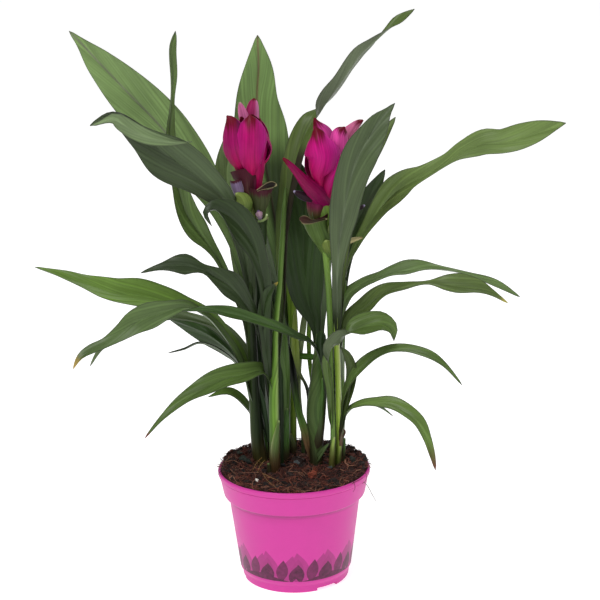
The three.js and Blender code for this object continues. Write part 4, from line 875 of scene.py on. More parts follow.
add_sheath(
    shoot, "shade", 60, [322.5, 362, 5, 4], [321.6, 351, 6, 8.5], [321, 342, 7, 10], [321.2, 336, 7, 9],
    [321.8, 333, 7, 5.5], [322.4, 331, 7, 1],
)
add_sheath(
    shoot, "reed", 50, [304, 474, -25, 3.4], [302.5, 430, -26, 3.6], [299, 392, -27, 4],
    [299.6, 362, -28, 4.5], [301.4, 342, -29, 5.5], [303, 328, -30, 6.5], [304.5, 316, -31, 5],
    [305.4, 306, -32, 1],
)
add_sheath(
    shoot, "lime", 60, [314, 470, -20, 3], [314.6, 430, -23, 3], [313.2, 392, -26, 3], [311.4, 376, -27, 4],
    [309.4, 358, -28, 4.2], [308.8, 338, -29, 4.6], [309.4, 316, -30, 4], open_end=True,
)
add_sheath(
    shoot, "leafy", 40, [299, 356, -24, 6], [306, 356.4, -24, 6.6], [314, 357, -24, 6], open_end=True,
)
add_sheath(
    shoot, "dark", 40, [310, 398, -16, 3.4], [307.8, 390, -17, 3], [304.5, 382, -18, 2.8],
    [301, 377, -20, 2.6], [298, 374, -22, 2],
)
shoot.piece("shoot_middle_leaves", [leaf_finish, stem_finish], "shoot_middle")

# %% Right stem: the leaves in front of and behind the right flower, over low arching ones
shoot = Bench()
rows = stem_rows(
    (34.3, 8, 2.8), [339.2, 440, -8, 2.5], [338.4, 405, -6, 2.45], [337.6, 369, -3, 2.4],
    [336.4, 330, 2, 2.2], [336.6, 306, 5, 1.5], [337.2, 285, 8, 0.7],
)
add_stem(
    shoot, rows, (-88, "#4A6424"), (-50, "#7C9A34"), (0, "#90AA46"), (40, "#A2B068"), (62, "#A4AE84"),
    (80, "#56703A"), (100, "#2C3C1A"), (180, "#6A8438"), foot="#44481E", top="#5F7E46", lift=1.2,
)
add_leaf(
    shoot, "front_of_right_flower", (14, 8, 2, 1.5), "#455335", "#5A6652", [338, 345, 3, 6, 0],
    [337, 300, 9, 8, 0], [337.5, 268, 15, 9, 0], [340, 238, 22, 16, 0], [343.5, 216, 26, 22, 0],
    [347, 195, 29, 24, 0], [352.5, 173, 31, 26, 5], [361, 152, 31, 27, 8], [370.5, 136, 29, 22, 10],
    [380, 121, 27, 15, 10], [388, 111, 25, 6, 10], [395, 103, 24, 1.5, 10], rib="#5E6A52",
)
add_leaf(
    shoot, "behind_front_right", (18, 0, 1, 1.5), "#5B6C3C", "#5B6E4C", [341, 320, 5, 5, 0],
    [342.5, 270, 8, 6, 0], [348.5, 215, 11, 12, 0], [361.5, 172, 13, 14, 0], [378.5, 142, 13, 11, 0],
    [395.5, 117, 13, 2, 0],
)
add_leaf(
    shoot, "low_arching_right", (16, 6, 1.5, 2), "#506631", "#687A55", [340, 450, -8, 5, -85],
    [341, 420, -4, 6, -80], [343.5, 397, 0, 7, -70], [352.5, 376, 6, 12, -58], [370, 359.5, 13, 13, -52],
    [388, 350, 19, 11, -50], [404, 348.5, 24, 12, -50], [419, 351, 28, 12, -50], [433, 356.5, 32, 9, -50],
    [446, 366.5, 36, 5, -50], [462, 385, 43, 1.5, -50],
)
add_leaf(
    shoot, "lowest_right", (16, 6, 1.5, 2), "#5D7537", "#687A55", [340, 455, -8, 5, -85],
    [342, 426, -4, 5, -80], [347, 410, 2, 7, -70], [361, 403.5, 8, 9, -58], [376, 402.5, 14, 11, -50],
    [391, 404, 20, 15, -45], [406, 411.3, 27, 16.5, -42], [419, 422, 34, 13.5, -42],
    [427, 438.5, 42, 8.5, -40], [432, 455, 49, 5.5, -40], [435.5, 470, 57, 1.5, -40], tip=("#7A3B30", 9),
)
add_leaf(
    shoot, "thin_low_right", (20, 0, 0.5, 1), "#43602C", "#5B6E4C", [340, 445, -11, 5, -85],
    [344, 418, -14, 5, -80], [354, 406, -18, 6, -75], [368, 403, -23, 6, -75], [382, 408, -28, 5, -75],
    [393, 416, -34, 1.2, -75],
)
add_leaf(
    shoot, "hooked_right", (16, 6, 0.5, 1), "#3E4E22", "#5B6E4C", [340, 440, -5, 5, -60],
    [345, 410, 0, 8, -50], [350, 388, 2, 10, -40], [352, 370, 3, 10, -30], [348, 356, 3, 7, -20],
    [341, 347, 3, 1.5, 0],
)
add_sheath(
    shoot, "green", 60, [343, 468, -7, 3], [343.8, 456, -7, 2.8], [344.3, 447, -7.5, 2],
    [344.7, 438, -8, 1],
)
add_sheath(
    shoot, "dry", 30, [341.5, 430.4, -6, 0.9], [343.8, 429.8, -5, 1.1], [345, 431.5, -5, 1.2],
    [344.4, 434.5, -5, 1.3], [343, 437, -6, 1],
)
shoot.piece("shoot_right_leaves", [leaf_finish, stem_finish], "shoot_right")

# %% Right back stem: the long leaf to the right
shoot = Bench()
rows = stem_rows(
    (35.5, 25, 3.4), [341.5, 420, -24, 2.8], [341, 370, -23, 2.8], [342, 320, -21, 2.8],
    [343.5, 280, -18, 2.2],
)
add_stem(
    shoot, rows, (-60, "#3E5524"), (30, "#55702F"), (90, "#2C3C1A"), (180, "#4C6530"), foot="#3A2C1C",
    top="#4E6A30",
)
add_leaf(
    shoot, "big_right", (14, 8, 2.5, 2), "#647940", "#74835F", [342, 340, -21, 6, -60],
    [342.5, 292, -19, 6, -60], [347, 266, -14, 6.5, -55], [357.5, 242, -11, 9, -48],
    [369.5, 222, -8, 12, -40], [381, 206, -4, 16, -35], [393, 193, 1, 22, -30], [407, 183, 5, 21, -32],
    [422, 175.5, 10, 18, -42], [444, 163, 16, 19, -52], [461, 151, 21, 23, -47], [483, 142.7, 28, 26, -38],
    [501, 141.5, 34, 22, -36], [523, 136.5, 40, 21, -35], [541, 131, 45, 16, -35], [566, 123, 52, 1.5, -40],
)
add_leaf(
    shoot, "dark_behind_right", (14, 6, 1, 1), "#233511", "#3A4733", [343, 325, -23, 5, 0],
    [344.5, 280, -27, 6, 0], [350, 242, -33, 13, 0], [360.5, 216, -39, 20, 0], [372.5, 192, -45, 14, 0],
    [385, 169.5, -50, 2, 0],
)
add_leaf(
    shoot, "upper_arching_right", (14, 6, 2, 2), "#647B47", "#687A55", [343, 365, -21, 6, -80],
    [341, 325, -19, 8, -70], [346, 297, -15, 14, -48], [361, 284, -12, 11, -50], [380, 276.5, -9, 11, -62],
    [392, 272, -8, 14, -60], [407, 269, -7, 17, -50], [424, 267, -6, 15, -52], [446, 269, -8, 10, -68],
    [469, 274, -11, 7, -62], [496, 283.5, -16, 8, -50], [520, 297, -23, 1.5, -50],
)
add_leaf(
    shoot, "lower_arching_right", (14, 6, 2.5, 2.5), "#546634", "#687A55", [343, 385, -22, 6, -80],
    [341, 348, -18, 7, -75], [347, 321, -12, 12, -42], [366, 306, -5, 16, -42], [385, 291.5, 1, 18, -46],
    [406, 286, 7, 13, -56], [428, 282.5, 12, 9, -75], [446, 283.5, 14, 15, -48], [461, 285.5, 16, 20, -42],
    [478, 288, 18, 17, -46], [493, 294, 20, 10, -50], [508, 303, 22, 1.5, -50], tip=("#A9A04C", 8),
)
shoot.piece("shoot_right_back_leaves", [leaf_finish, stem_finish], "shoot_right_back")

# %% [markdown]
# ## The flowers
# The showy part of a Siam tulip isn't petals but bracts, leaves turned to colour. Each is a cupped spoon
# on a common axis: magenta above, with a crimson stain at its tip that breaks up into streaks, and green
# pouches below with maroon edges. Those that face the viewer are read off the picture, as the sheaths are.

# %% Finish: bracts, with a stain that runs out in streaks along the veins
BRACT_VEIN, BRACT_VEIN_RUN = 1.3, 30.0  # mm apart (coarsened from 0.6), and how long one keeps its tone
STREAK_RUN, STREAK_REACH = 120.0, 1.3  # mm, and how far a streak runs past the stain's even edge
STAIN_START, STAIN_END = 1.05, 1.8
BRACT_MOTTLE = 7.0  # mm
BRACT_IOR, BRACT_SHINE = 1.42, 0.15


def bract_finish(name, stain, gloss, vein_tone):
    finish, tree, shader = new_finish(name)
    tint, x, y, from_stain = grain_nodes(tree)
    veins = striped_noise(tree, x, y, BRACT_VEIN, BRACT_VEIN_RUN)
    streaks = striped_noise(tree, x, y, BRACT_VEIN, STREAK_RUN)
    mottle = clouds(tree, BRACT_MOTTLE)
    tone = sum_of(tree, 1.0, (vein_tone, 0.5, veins), (0.3, 0.5, mottle))
    painted = add_node(tree, "VectorMath", {0: tint, "Scale": tone}, operation="SCALE").outputs[0]
    reach = work_out(tree, streaks, ("MULTIPLY_ADD", STREAK_REACH, from_stain))
    limits = {"Value": reach, "From Min": STAIN_START, "From Max": STAIN_END, "To Min": 1.0, "To Max": 0.0}
    stained = add_node(tree, "MapRange", limits, interpolation_type="SMOOTHSTEP").outputs[0]
    both = add_node(tree, "Mix", {0: stained, 6: painted, 7: (*colour(stain), 1)}, data_type="RGBA")
    bump = add_node(tree, "Bump", {"Height": sum_of(tree, 0.0, (0.14, 0.5, veins)), "Distance": MM})
    fill(tree, shader, {
        "Base Color": both.outputs[2], "Normal": bump.outputs[0], "IOR": BRACT_IOR,
        "Roughness": sum_of(tree, gloss, (0.2, 0.5, mottle)), "Specular IOR Level": BRACT_SHINE,
    })
    return finish


# Magenta bracts have a satin gloss that keeps their colour deep; the pouches look like thick green leaf.
pink_finish = bract_finish("magenta_bract_satin", "#62061E", 0.42, 0.85)
pouch_finish = bract_finish("green_bract_maroon_edged", "#3E1620", 0.42, 0.9)
print("finishes:", pink_finish.name, "and", pouch_finish.name)

# %% [markdown]
# ## The back of a flower
# The bracts that the picture doesn't show stand round the flower's axis at an angle, on the pattern of
# those in front. Each of their rows says how far up the axis and how far out it is, and how wide.

# %% A bract stood round the flower's axis
CORE_RADIUS, CORE_TONE = 5.0, "#6A1040"
CORE_ROWS = (0, CORE_RADIUS), (17, CORE_RADIUS), (32, 1)  # mm up the axis, and radius
NECK_ROWS = (-CORE_RADIUS, CORE_RADIUS), (-0.3, CORE_RADIUS)
BACK_WAVE_HIGH = 0.7  # mm


def flower_axes(foot, top):
    """From two picture points: a flower's foot, its axis, and the ways to the viewer and to the right."""
    foot, top = from_picture(*foot), from_picture(*top)
    axis = unit(top - foot)
    forward = EYE - foot
    forward = unit(forward - axis * (forward @ axis))
    return foot, axis, forward, np.cross(axis, forward)


def up_the_axis(axes, rows):
    return [[*(axes[0] + axes[1] * height), radius] for height, radius in rows]


def petal(base, top, bulge, out, width):
    """Rows of a bract that leaves the axis low, bulges, and closes to a pointed tip."""
    rise = top - base
    return [
        [base, 2, width * 0.35], [base + 0.14 * rise, bulge * 0.72, width * 0.72],
        [base + 0.4 * rise, bulge, width * 0.98], [base + 0.68 * rise, bulge * 0.6 + out * 0.4, width * 0.98],
        [base + 0.88 * rise, bulge * 0.15 + out * 0.85, width * 0.7], [top, out, 2],
    ]


def add_bract(bench, axes, look, turn, cup, *rows):
    foot, axis, forward, right = axes
    out = forward * math.cos(math.radians(turn)) + right * math.sin(math.radians(turn))
    route = Route([[height, distance, 0, width] for height, distance, width in rows])
    height, distance, _, width = route.at(CUP_SHARES).T
    slope = route.at(CUP_SHARES + 0.02) - route.at(CUP_SHARES - 0.02)
    inward = unit(axis * slope[:, 1:2] - out * slope[:, :1])
    point = foot + axis * height[:, None] + out * distance[:, None]
    half = np.maximum(width, 0.8)[:, None] / 2
    over, up = section(CUP_ACROSS, half, CREASE, math.radians(cup))
    wave = BACK_WAVE_HIGH * CUP_ACROSS**4 * np.sin(CUP_SHARES[:, None] * 9 + turn + 2 * np.sign(CUP_ACROSS))
    up = up + wave * np.minimum(1, half / 8)
    grid = point[:, None] + np.cross(out, axis) * over[..., None] + inward[:, None] * up[..., None]
    lay_cup(bench, grid, half, route.length, LOOKS[look])
    bench.names.append(f"{look}_bract_at_{turn}")


print("a back bract has rows such as", petal(3, 43, 13, 9, 20)[1])

# %% [markdown]
# ## The two flowers
# A flower is a stalk with green pouches, and a bundle of pink bracts above them on a slim core. Small
# violet florets look out of the pouches. The bracts at the back come first, and then, by name, the ones
# that face the viewer.

# %% Left flower: the stalk and its green pouches
axes = flower_axes([254, 174, -2], [250, 112, -2])
stalk = Bench()
rows = stem_rows(
    (-7.2, 15, 3.4), [285, 430, -17, 3.5], [279, 370, -14, 3.3], [270, 310, -9, 2.9], [264, 268, -4, 2.5],
    [262, 243, -2, 2.6], [259, 215, -2, 3.6],
)
add_stem(
    stalk, rows + up_the_axis(axes, NECK_ROWS), (-60, "#1E2A12"), (0, "#2E4019"), (60, "#26341A"),
    foot="#30201A", top="#5E7A34",
)
add_leaf(
    stalk, "narrow_middle", (14, 0, 0.5, 1), "#55762F", "#4A583F", [285, 450, -14, 5, 0],
    [286, 420, -12, 5, 0], [286.5, 395, -10, 6, 0], [285, 365, -8, 8, 0], [283, 335, -6, 7, 0],
    [282, 305, -5, 1.2, 0],
)
add_sheath(
    stalk, "green", 80, [284.4, 468, -9, 9.5], [285, 450, -9.5, 9], [286, 432, -10, 7],
    [286.6, 418, -10.5, 6], [286.8, 408, -11, 5.4], open_end=True,
)
add_bract(stalk, axes, "pouch", 120, 60, [-24, 4, 10], [-19, 7, 18], [-15, 10, 21], [-12, 12, 18])
add_bract(stalk, axes, "pouch", 178, 70, [-36, 3, 8], [-27, 8, 20], [-17, 12, 28], [-11, 15, 24])
add_bract(stalk, axes, "pouch", -120, 70, [-34, 3, 8], [-26, 7, 18], [-16, 10, 24], [-9, 12, 20])
add_spoon(
    stalk, "body", "pouch", 180, 70, [263, 245, 2, 7], [262, 232, 4, 10], [261, 224, 6, 12.5],
    [261.5, 219, 8, 13], open_end=True, outer="#26341A", low="#26341A",
)
add_spoon(
    stalk, "dark_cup", "pouch", 180, 78, [256, 226, 2, 8], [253.4, 212, 5, 13.5], [249.8, 200, 7, 17.5],
    [247.6, 190, 9, 19.5], [246.4, 180, 10, 23.5], [245.2, 172, 9, 28], [244.8, 169, 8.5, 29.5],
    stain=(17, 40), open_end=True, outer="#482C26", sides=("#42382A", "#80104A"),
)
add_spoon(
    stalk, "right_cup", "pouch", 184, 70, [260, 226, 4, 7], [260.5, 212, 9, 12], [261, 203, 12, 18],
    [261, 196, 14, 22.5], [261.3, 190.5, 15, 25], stain=(6, 40), open_end=True, outer="#3A4024",
    low="#36421E",
)
add_spoon(
    stalk, "right_lip", "lip", 20, 40, [257, 190.6, 15.5, 1.4], [262, 188, 14.5, 3.6],
    [267, 185.6, 13.5, 6.2], [271.4, 184.3, 13, 6.8], [274.6, 184.6, 12.6, 4.6], [276.8, 185.6, 12.4, 1.2],
)
add_spoon(
    stalk, "left_back_pouch", "olive_pouch", 165, 70, [248, 224, 4, 9], [242, 211, 8, 15],
    [238.5, 203, 10, 15.5], [237, 197, 11, 12], [237, 194, 10.5, 9], open_end=True,
)
add_spoon(
    stalk, "bright_pouch", "bulb", 180, 85, [247, 214.5, 10, 9], [246, 209, 13.5, 15.5],
    [244.6, 204, 15, 17], [242.2, 199, 15.4, 14.5], [239, 195.6, 15, 9], [235.5, 193.6, 14, 2.5],
)
add_spoon(
    stalk, "curled_margin", "margin", 180, 60, [258, 221.3, 13, 1.5], [262, 220.9, 14, 1.9],
    [265.6, 218.2, 14, 1.9], [267, 214, 13, 1.2],
)
add_spoon(
    stalk, "floret_upper", "floret", 170, 70, [239.5, 199, 11, 9], [237.5, 191, 13, 11],
    [235.6, 184.5, 14.5, 11], [234.6, 180.8, 15, 10], stain=(2.5, 40), open_end=True,
)
add_spoon(
    stalk, "floret_lower", "floret", 180, 80, [260.3, 219.8, 12, 3], [259.6, 216, 14, 6.5],
    [258.8, 213, 14.5, 6], [258, 210.3, 14, 1.5], outer="#987A88",
)
finishes = [leaf_finish, stem_finish, pouch_finish]
stalk.piece("flower_left_stalk_and_pouches", finishes, "flower_stalk_left")

# %% Left flower: the pink bracts
bracts = Bench()
add_stem(bracts, up_the_axis(axes, CORE_ROWS), (0, CORE_TONE), kind=PINK)
add_bract(bracts, axes, "pink", -128, 46, *petal(3, 43, 13, 9, 20))
add_bract(bracts, axes, "pink", 118, 46, *petal(3, 41, 15, 8, 24))
add_bract(bracts, axes, "pink", 172, 46, *petal(4, 44, 15, 9, 28))
add_spoon(
    bracts, "back_narrow", "pale", 180, 50, [251.5, 168, -4, 5], [249, 152, -6, 8], [247, 139, -7.5, 10],
    [245, 122, -9, 10.5], [243, 114, -9, 9.5], [241.3, 108, -9, 6.5], [239.6, 102, -9, 1.5],
)
# Its pale pink side is a painted highlight.
add_spoon(
    bracts, "back_right", "pink", 180, 55, [252.5, 168, -7, 6], [252, 152, -11, 10], [252, 138, -13, 13],
    [252, 118, -14, 14], [252.5, 110, -13, 12.5], [253.6, 103, -12, 8.5], [254.4, 98.2, -11, 1.5],
    stain=(3, 3), outer="#A83068", sides=("#7A1040", "#D880B4"),
)
add_spoon(
    bracts, "right", "pink", 202, 60, [257, 194, 3, 10], [257.4, 184, 4, 13.5], [258, 175, 5, 15.5],
    [258, 166, 5, 19], [258.3, 158, 5, 22], [258.6, 150, 5, 24.5], [258.5, 142, 4, 23], [258.3, 134, 3, 18],
    [258, 127, 2, 10], [258, 122, 1, 1.5], sides=("#640832", "#A01058"),
)
add_spoon(
    bracts, "left", "pink", 150, 62, [241, 178, 0, 10], [239, 168, 5, 17], [235.5, 161, 8, 21.5],
    [233.2, 155, 9, 25.5], [231.3, 147, 10, 26.5], [230, 138, 9, 24], [230, 130, 8, 20],
    [229.4, 124, 7, 15.5], [228.6, 120, 6, 10.5], [227.6, 117, 5, 5], [227, 115.9, 4.5, 1.5],
    stain=(15, 7.5), outer="#8C0C54", sides=("#A01266", "#5A0A3A"),
)
add_spoon(
    bracts, "front", "pink", 180, 62, [252, 184, 2, 5], [252, 174, 8, 8.5], [251.5, 170, 10, 15],
    [251, 163, 12, 24], [250.5, 156, 13.5, 28], [250.3, 146, 14.5, 31.5], [250.5, 136, 14, 33.5],
    [250.6, 131, 13, 32.5], [250.5, 124, 11, 26.5], [250.3, 119, 9, 18], [250, 116.3, 7.5, 9],
    [249.8, 115, 7, 1.5], stain=(16, 5.5), outer="#9A0A5A", sides=("#A2126A", "#A01A70"),
)
bracts.piece("flower_left_pink_bracts", [pink_finish], "flower_bracts_left")

# %% Right flower: the stalk and its green pouches
axes = flower_axes([325, 203, 1], [319, 120, 1])
stalk = Bench()
rows = stem_rows(
    (29.4, 1, 2.4), [332.9, 440, -1, 2.1], [332.6, 415, -1.5, 2], [331.7, 390, -2, 1.9],
    [331, 360, -3, 2.1], [330.6, 345, -4, 2.3], [329, 295, -2, 2.4], [326.5, 262, 0, 2.6],
    [325, 240, 1, 3.2],
)
add_stem(
    stalk, rows + up_the_axis(axes, NECK_ROWS), (-85, "#2E4219"), (-45, "#56783A"), (10, "#6C8A42"),
    (50, "#54702F"), (80, "#1E2A12"), (180, "#56742F"), foot="#44401E", top="#6E8C3E",
)
add_leaf(
    stalk, "folded_middle_right", (18, 8, 1.5, 1.5), "#4F652F", "#485439", [332, 430, 0, 6, -20],
    [330, 392, 3, 7, -30], [326.5, 362, 9, 10, -50], [329.5, 347, 15, 12.5, -142],
    [337, 338.5, 19, 13, -150], [343.5, 333.5, 19.5, 12, -125], [349, 331, 19, 14, -62],
    [358, 327, 18, 20, -34], [369, 324, 18, 21, -30], [382, 322.5, 19, 20, -34], [392, 328.5, 19, 14, -42],
    [394, 341, 20, 2, -60], heart=0,
)
# A near-black strip behind the stems that fills the gap between them: painted shade.
add_sheath(
    stalk, "dark", 40, [335.5, 470, -11, 4], [335.4, 420, -10, 4.4], [334.5, 380, -9, 4.4],
    [334, 345, -8, 4.4], [333, 300, -6, 3], open_end=True,
)
add_sheath(
    stalk, "light", 85, [331.6, 468, 2.5, 5.8], [332, 456, 2.6, 5.6], [332.6, 447, 2, 4],
    [334.4, 437, 1, 1],
)
add_bract(stalk, axes, "pouch", 80, 60, [-24, 4, 10], [-17, 8, 20], [-12, 12, 24], [-10, 15, 16])
add_bract(stalk, axes, "pouch", 176, 70, [-40, 3, 8], [-30, 8, 20], [-20, 12, 28], [-13, 15, 24])
add_bract(stalk, axes, "pouch", -130, 60, [-24, 4, 10], [-16, 8, 20], [-9, 11, 24], [-3, 13, 20])
add_spoon(
    stalk, "funnel", "funnel", 180, 75, [317.5, 224, 2, 13], [317, 214, 5, 19.5], [317.5, 206, 7, 23.5],
    [319.5, 198, 8, 24], [321, 192, 8, 22], open_end=True,
)
add_spoon(
    stalk, "violet_tip", "violet", 180, 50, [313, 199.5, 10, 7], [306, 197, 13, 8.5],
    [299.5, 194.3, 14, 6.8], [293.5, 191, 14, 1.5],
)
add_spoon(
    stalk, "striped_body", "pouch", 180, 72, [330, 260, 1, 8], [325.5, 246.5, 5, 16], [319.8, 233.5, 9, 22],
    [316.8, 225, 11, 25.5], [315.5, 219.3, 12, 29], stain=(2.5, 40), open_end=True,
)
add_spoon(
    stalk, "left_lip", "lip", 160, 30, [299.4, 219, 14, 1.5], [302.3, 219, 14, 7.5], [306, 219.8, 14, 8.5],
    [310.5, 221.2, 14, 5], [317, 220.8, 14, 2.4], [327, 219, 12, 1.2],
)
add_spoon(
    stalk, "bright_pouch", "bulb", 180, 80, [331.5, 258, 5, 6], [329, 250, 8, 11], [327, 244, 9, 10],
    [325.8, 240, 9, 2],
)
add_spoon(
    stalk, "dried_tip", "dried", 180, 40, [328, 255, -1, 2], [336, 249, -2, 3.4], [344, 244, -3, 4],
    [351, 240.5, -4, 5], [358, 238.5, -4, 3], [362.5, 237.6, -4, 1],
)
add_spoon(
    stalk, "purple_tip", "violet", 180, 40, [329, 224, -2, 3], [340, 219, -3, 3.6], [350, 213.5, -4, 3.6],
    [361, 207.3, -4, 4], [365, 205, -4, 1], low="#44582C",
)
finishes = [leaf_finish, stem_finish, pouch_finish]
stalk.piece("flower_right_stalk_and_pouches", finishes, "flower_stalk_right")

# %% Right flower: the pink bracts
bracts = Bench()
add_stem(bracts, up_the_axis(axes, CORE_ROWS), (0, CORE_TONE), kind=PINK)
add_bract(bracts, axes, "pink", 150, 46, *petal(10, 50, 15, 10, 26))
add_bract(bracts, axes, "pink", -146, 50, *petal(12, 51, 14, 9, 26))
add_bract(bracts, axes, "pink", 100, 46, *petal(8, 46, 17, 16, 28))
add_spoon(
    bracts, "back_left", "pink", 180, 55, [325, 188, 0, 8], [325.6, 170, -1, 13], [326, 154, -2, 17],
    [325.8, 142, -3, 20], [323.2, 134, -4, 18.5], [318.8, 127.3, -5, 13], [315.9, 122, -6, 6],
    [314.4, 117.8, -7, 1.5], stain=(12, 6), outer="#C83C90", sides=("#94164E", "#B43C88"),
)
add_spoon(
    bracts, "far_right", "pink", 200, 55, [329, 192, 0, 7], [335, 176, 0.5, 12], [341, 161, 0, 16],
    [346, 146, -1, 18], [350.5, 134.5, -2, 15], [355.5, 126.8, -3, 9.5], [360, 122.5, -4, 6],
    [363, 120, -4, 1.5], stain=(8, 5), outer="#B85E84",
)
add_spoon(
    bracts, "middle_right", "pink", 195, 60, [329, 193, 1, 6], [334, 181, 1, 10], [337, 171, 2, 13],
    [339, 161, 5, 17], [340.2, 151, 7.5, 19], [340.5, 143, 8, 18.5], [340.8, 136.5, 7.5, 17],
    [342.6, 131, 7, 12.5], [344, 128, 6.5, 6], [344.5, 127, 6, 1.5], stain=(8, 7), outer="#D8489C",
)
add_spoon(
    bracts, "low_right", "pink", 190, 55, [326, 202, 4, 10], [329, 191, 9, 15], [333, 180, 12, 17],
    [337, 170, 12.5, 15], [340, 161, 12, 9], [342, 155, 11, 2], stain=(0.05, 2), outer="#B00E70",
    sides=("#96104E", "#C42A90"),
)
add_spoon(
    bracts, "front", "pink", 176, 62, [320.5, 191, 7, 4], [320, 183, 11, 7.5], [318.9, 178, 13.5, 15.5],
    [319.3, 172, 15.5, 24], [321.2, 165, 17, 31.5], [322, 157.5, 18, 36], [320.5, 150, 18, 33.5],
    [318.6, 141, 16.5, 25], [317.3, 134, 14, 15.5], [316.2, 130, 12.5, 9], [315.6, 127.2, 11.5, 1.5],
    stain=(15.5, 8), outer="#B11070", sides=("#A0105E", "#BE2688"),
)
add_spoon(
    bracts, "left_spreading", "spreading", 190, 58, [330, 208, 3, 15], [323.5, 198, 10, 20.5],
    [316, 190.5, 14, 18], [307.2, 183.3, 16, 12.5], [299.5, 174.5, 16.5, 9], [292.5, 166.8, 16.5, 6.5],
    [287, 161.3, 16, 4.5], [283, 158, 16, 1.8], stain=(7, 6),
)
bracts.piece("flower_right_pink_bracts", [pink_finish], "flower_bracts_right")

# %% [markdown]
# ## The soil
# The pot is filled with coarse coir compost: dark brown crumbs in a mat of red-brown coconut fibres, a
# chip of bark, a grain of perlite and darker lumps. A bed carries the shape, hundreds of small lumps
# give it its broken surface, and thin curled tubes are the fibres. All random draws start from one seed.

# %% Finish: coir compost
def rough_finish(name, size, depth, gloss, spread):
    """Grit of a size in millimetres, with soft patches six times as large."""
    finish, tree, shader = new_finish(name)
    tint = grain_nodes(tree)[0]
    grit, patches = clouds(tree, size, 5.0), clouds(tree, 6 * size, 2.0)
    tone = sum_of(tree, 1.0, (spread, 0.5, grit), (0.6 * spread, 0.5, patches))
    painted = add_node(tree, "VectorMath", {0: tint, "Scale": tone}, operation="SCALE")
    bump = add_node(tree, "Bump", {"Height": sum_of(tree, 0.0, (depth, 0.5, grit)), "Distance": MM})
    fill(tree, shader, {"Base Color": painted.outputs[0], "Normal": bump.outputs[0], "Roughness": gloss})
    return finish


# Damp compost is matt and patchy with a deep grit; a dry fibre is smoother and evenly toned.
soil_finish = rough_finish("coir_compost_damp", 1.4, 1.2, 0.9, 2.2)
fibre_finish = rough_finish("coconut_fibre_dry", 2.5, 0.1, 0.7, 0.8)
print("finishes:", soil_finish.name, "and", fibre_finish.name)

# %% The bed
rng = np.random.default_rng(7)
SOIL_CROWN, SOIL_LUMP, SOIL_REACH = 2.5, 1.4, 57.3  # mm
SOIL_WALL = [[39.3, 5.2], [39.9, 6.1], [41.7, 9.6], [49.5, 63.1], [53.3, 69.1], [56.9, 84.0]]
BED_RINGS, BED_SIDES = 84, 200
GRIT_SIZE, GRIT_HIGH, PATCH_SIZE = 6.0, 1.6, 9.0  # mm
SOIL_TONES = ["#1C0D0A", "#30150F", "#441E16", "#150A08", "#562A1E", "#261C19"]


def soil_height(x, y):
    """Lumps, two low heaps among the stems, and a brim that rises to the pot's wall at the back."""
    out = np.minimum(1, np.hypot(x, y) / SOIL_REACH)
    lumps = np.sin(x * 0.31 + 1.3) * np.cos(y * 0.27) + 0.6 * np.sin(x * 0.13 - y * 0.41 + 2)
    heap = 3.5 * np.exp(-(((x + 36) / 15) ** 2) - ((y - 10) / 22) ** 2)
    heap = heap + 3.0 * np.exp(-((x / 22) ** 2) - ((y - 20) / 18) ** 2)
    brim = smooth(out, 0.55, 0.97) * (2.2 + 3.6 * smooth(y, -46, 10))
    crown = SOIL_EDGE + SOIL_CROWN * (1 - out**2)
    return crown + SOIL_LUMP * lumps * (1 - out**4) + heap * (1 - out**8) + brim


def crumbly(x, y, size, seed):
    return np.array([noise.fractal(Vector((a / size, b / size, seed)), 0.8, 2.1, 4) for a, b in zip(x, y)])


ring = SOIL_REACH * (np.arange(1, BED_RINGS + 1) / BED_RINGS) ** 0.8
angle = 2 * np.pi * np.arange(BED_SIDES) / BED_SIDES
x = np.concatenate([[0], np.outer(ring, np.cos(angle)).ravel()])
y = np.concatenate([[0], np.outer(ring, np.sin(angle)).ravel()])
rough = GRIT_HIGH * crumbly(x, y, GRIT_SIZE, 3.1)
top = np.stack([x, y, soil_height(x, y) + rough * (1 - (np.hypot(x, y) / SOIL_REACH) ** 10)], 1)
wall = np.concatenate([
    np.stack([r * np.cos(angle), r * np.sin(angle), np.full(BED_SIDES, z)], 1) for r, z in SOIL_WALL[::-1]
])
points = np.concatenate([top, wall, [[0, 0, SOIL_WALL[0][1]]]])
index = np.arange(1, len(points) - 1).reshape(-1, BED_SIDES)
turned = np.roll(index, -1, 1)
sides = np.stack([index[:-1], index[1:], turned[1:], turned[:-1]], -1).reshape(-1, 4)
centre = np.stack([np.zeros(BED_SIDES, int), index[0], turned[0]], -1)
under = np.stack([np.full(BED_SIDES, len(points) - 1), turned[-1], index[-1]], -1)
shade = np.clip(0.5 + 0.9 * crumbly(points[:, 0], points[:, 1], PATCH_SIZE, 8.0), 0, 1)
bed = Bench()
bed.add(points, sides, blend(colour(SOIL_TONES[0]), colour(SOIL_TONES[2]), shade), 0 * points)
bed.faces += [centre, under]
bed.kinds += [np.zeros(2 * BED_SIDES, int)]
bed.piece("soil_bed", [soil_finish], "soil", sharp=180)

# %% Crumbs all over the bed, and more of them where it is ragged beside the wall
CRUMBS, CRUMB_SIZES, CRUMB_REACH = 950, (0.7, 3.0), 55.8  # mm
RAGGED, RAGGED_SIZES, RAGGED_ABOVE, RAGGED_REACH = 130, (0.7, 2.0), (0.6, 3.2), (53, 57)
RAGGED_WAYS = (105, 200), (-15, 75)  # degrees round the pot, as seen from above
FULL_TURN = 2 * math.pi
ball = bmesh.new()
bmesh.ops.create_icosphere(ball, subdivisions=2, radius=1)
ball_points = np.array([v.co for v in ball.verts])
ball_faces = np.array([[v.index for v in f.verts] for f in ball.faces])
ball.free()
crumbs = Bench()


def between(least, most, power=1):
    """A random number; a power over 1 makes those near the least one commoner."""
    return least + (most - least) * rng.random() ** power


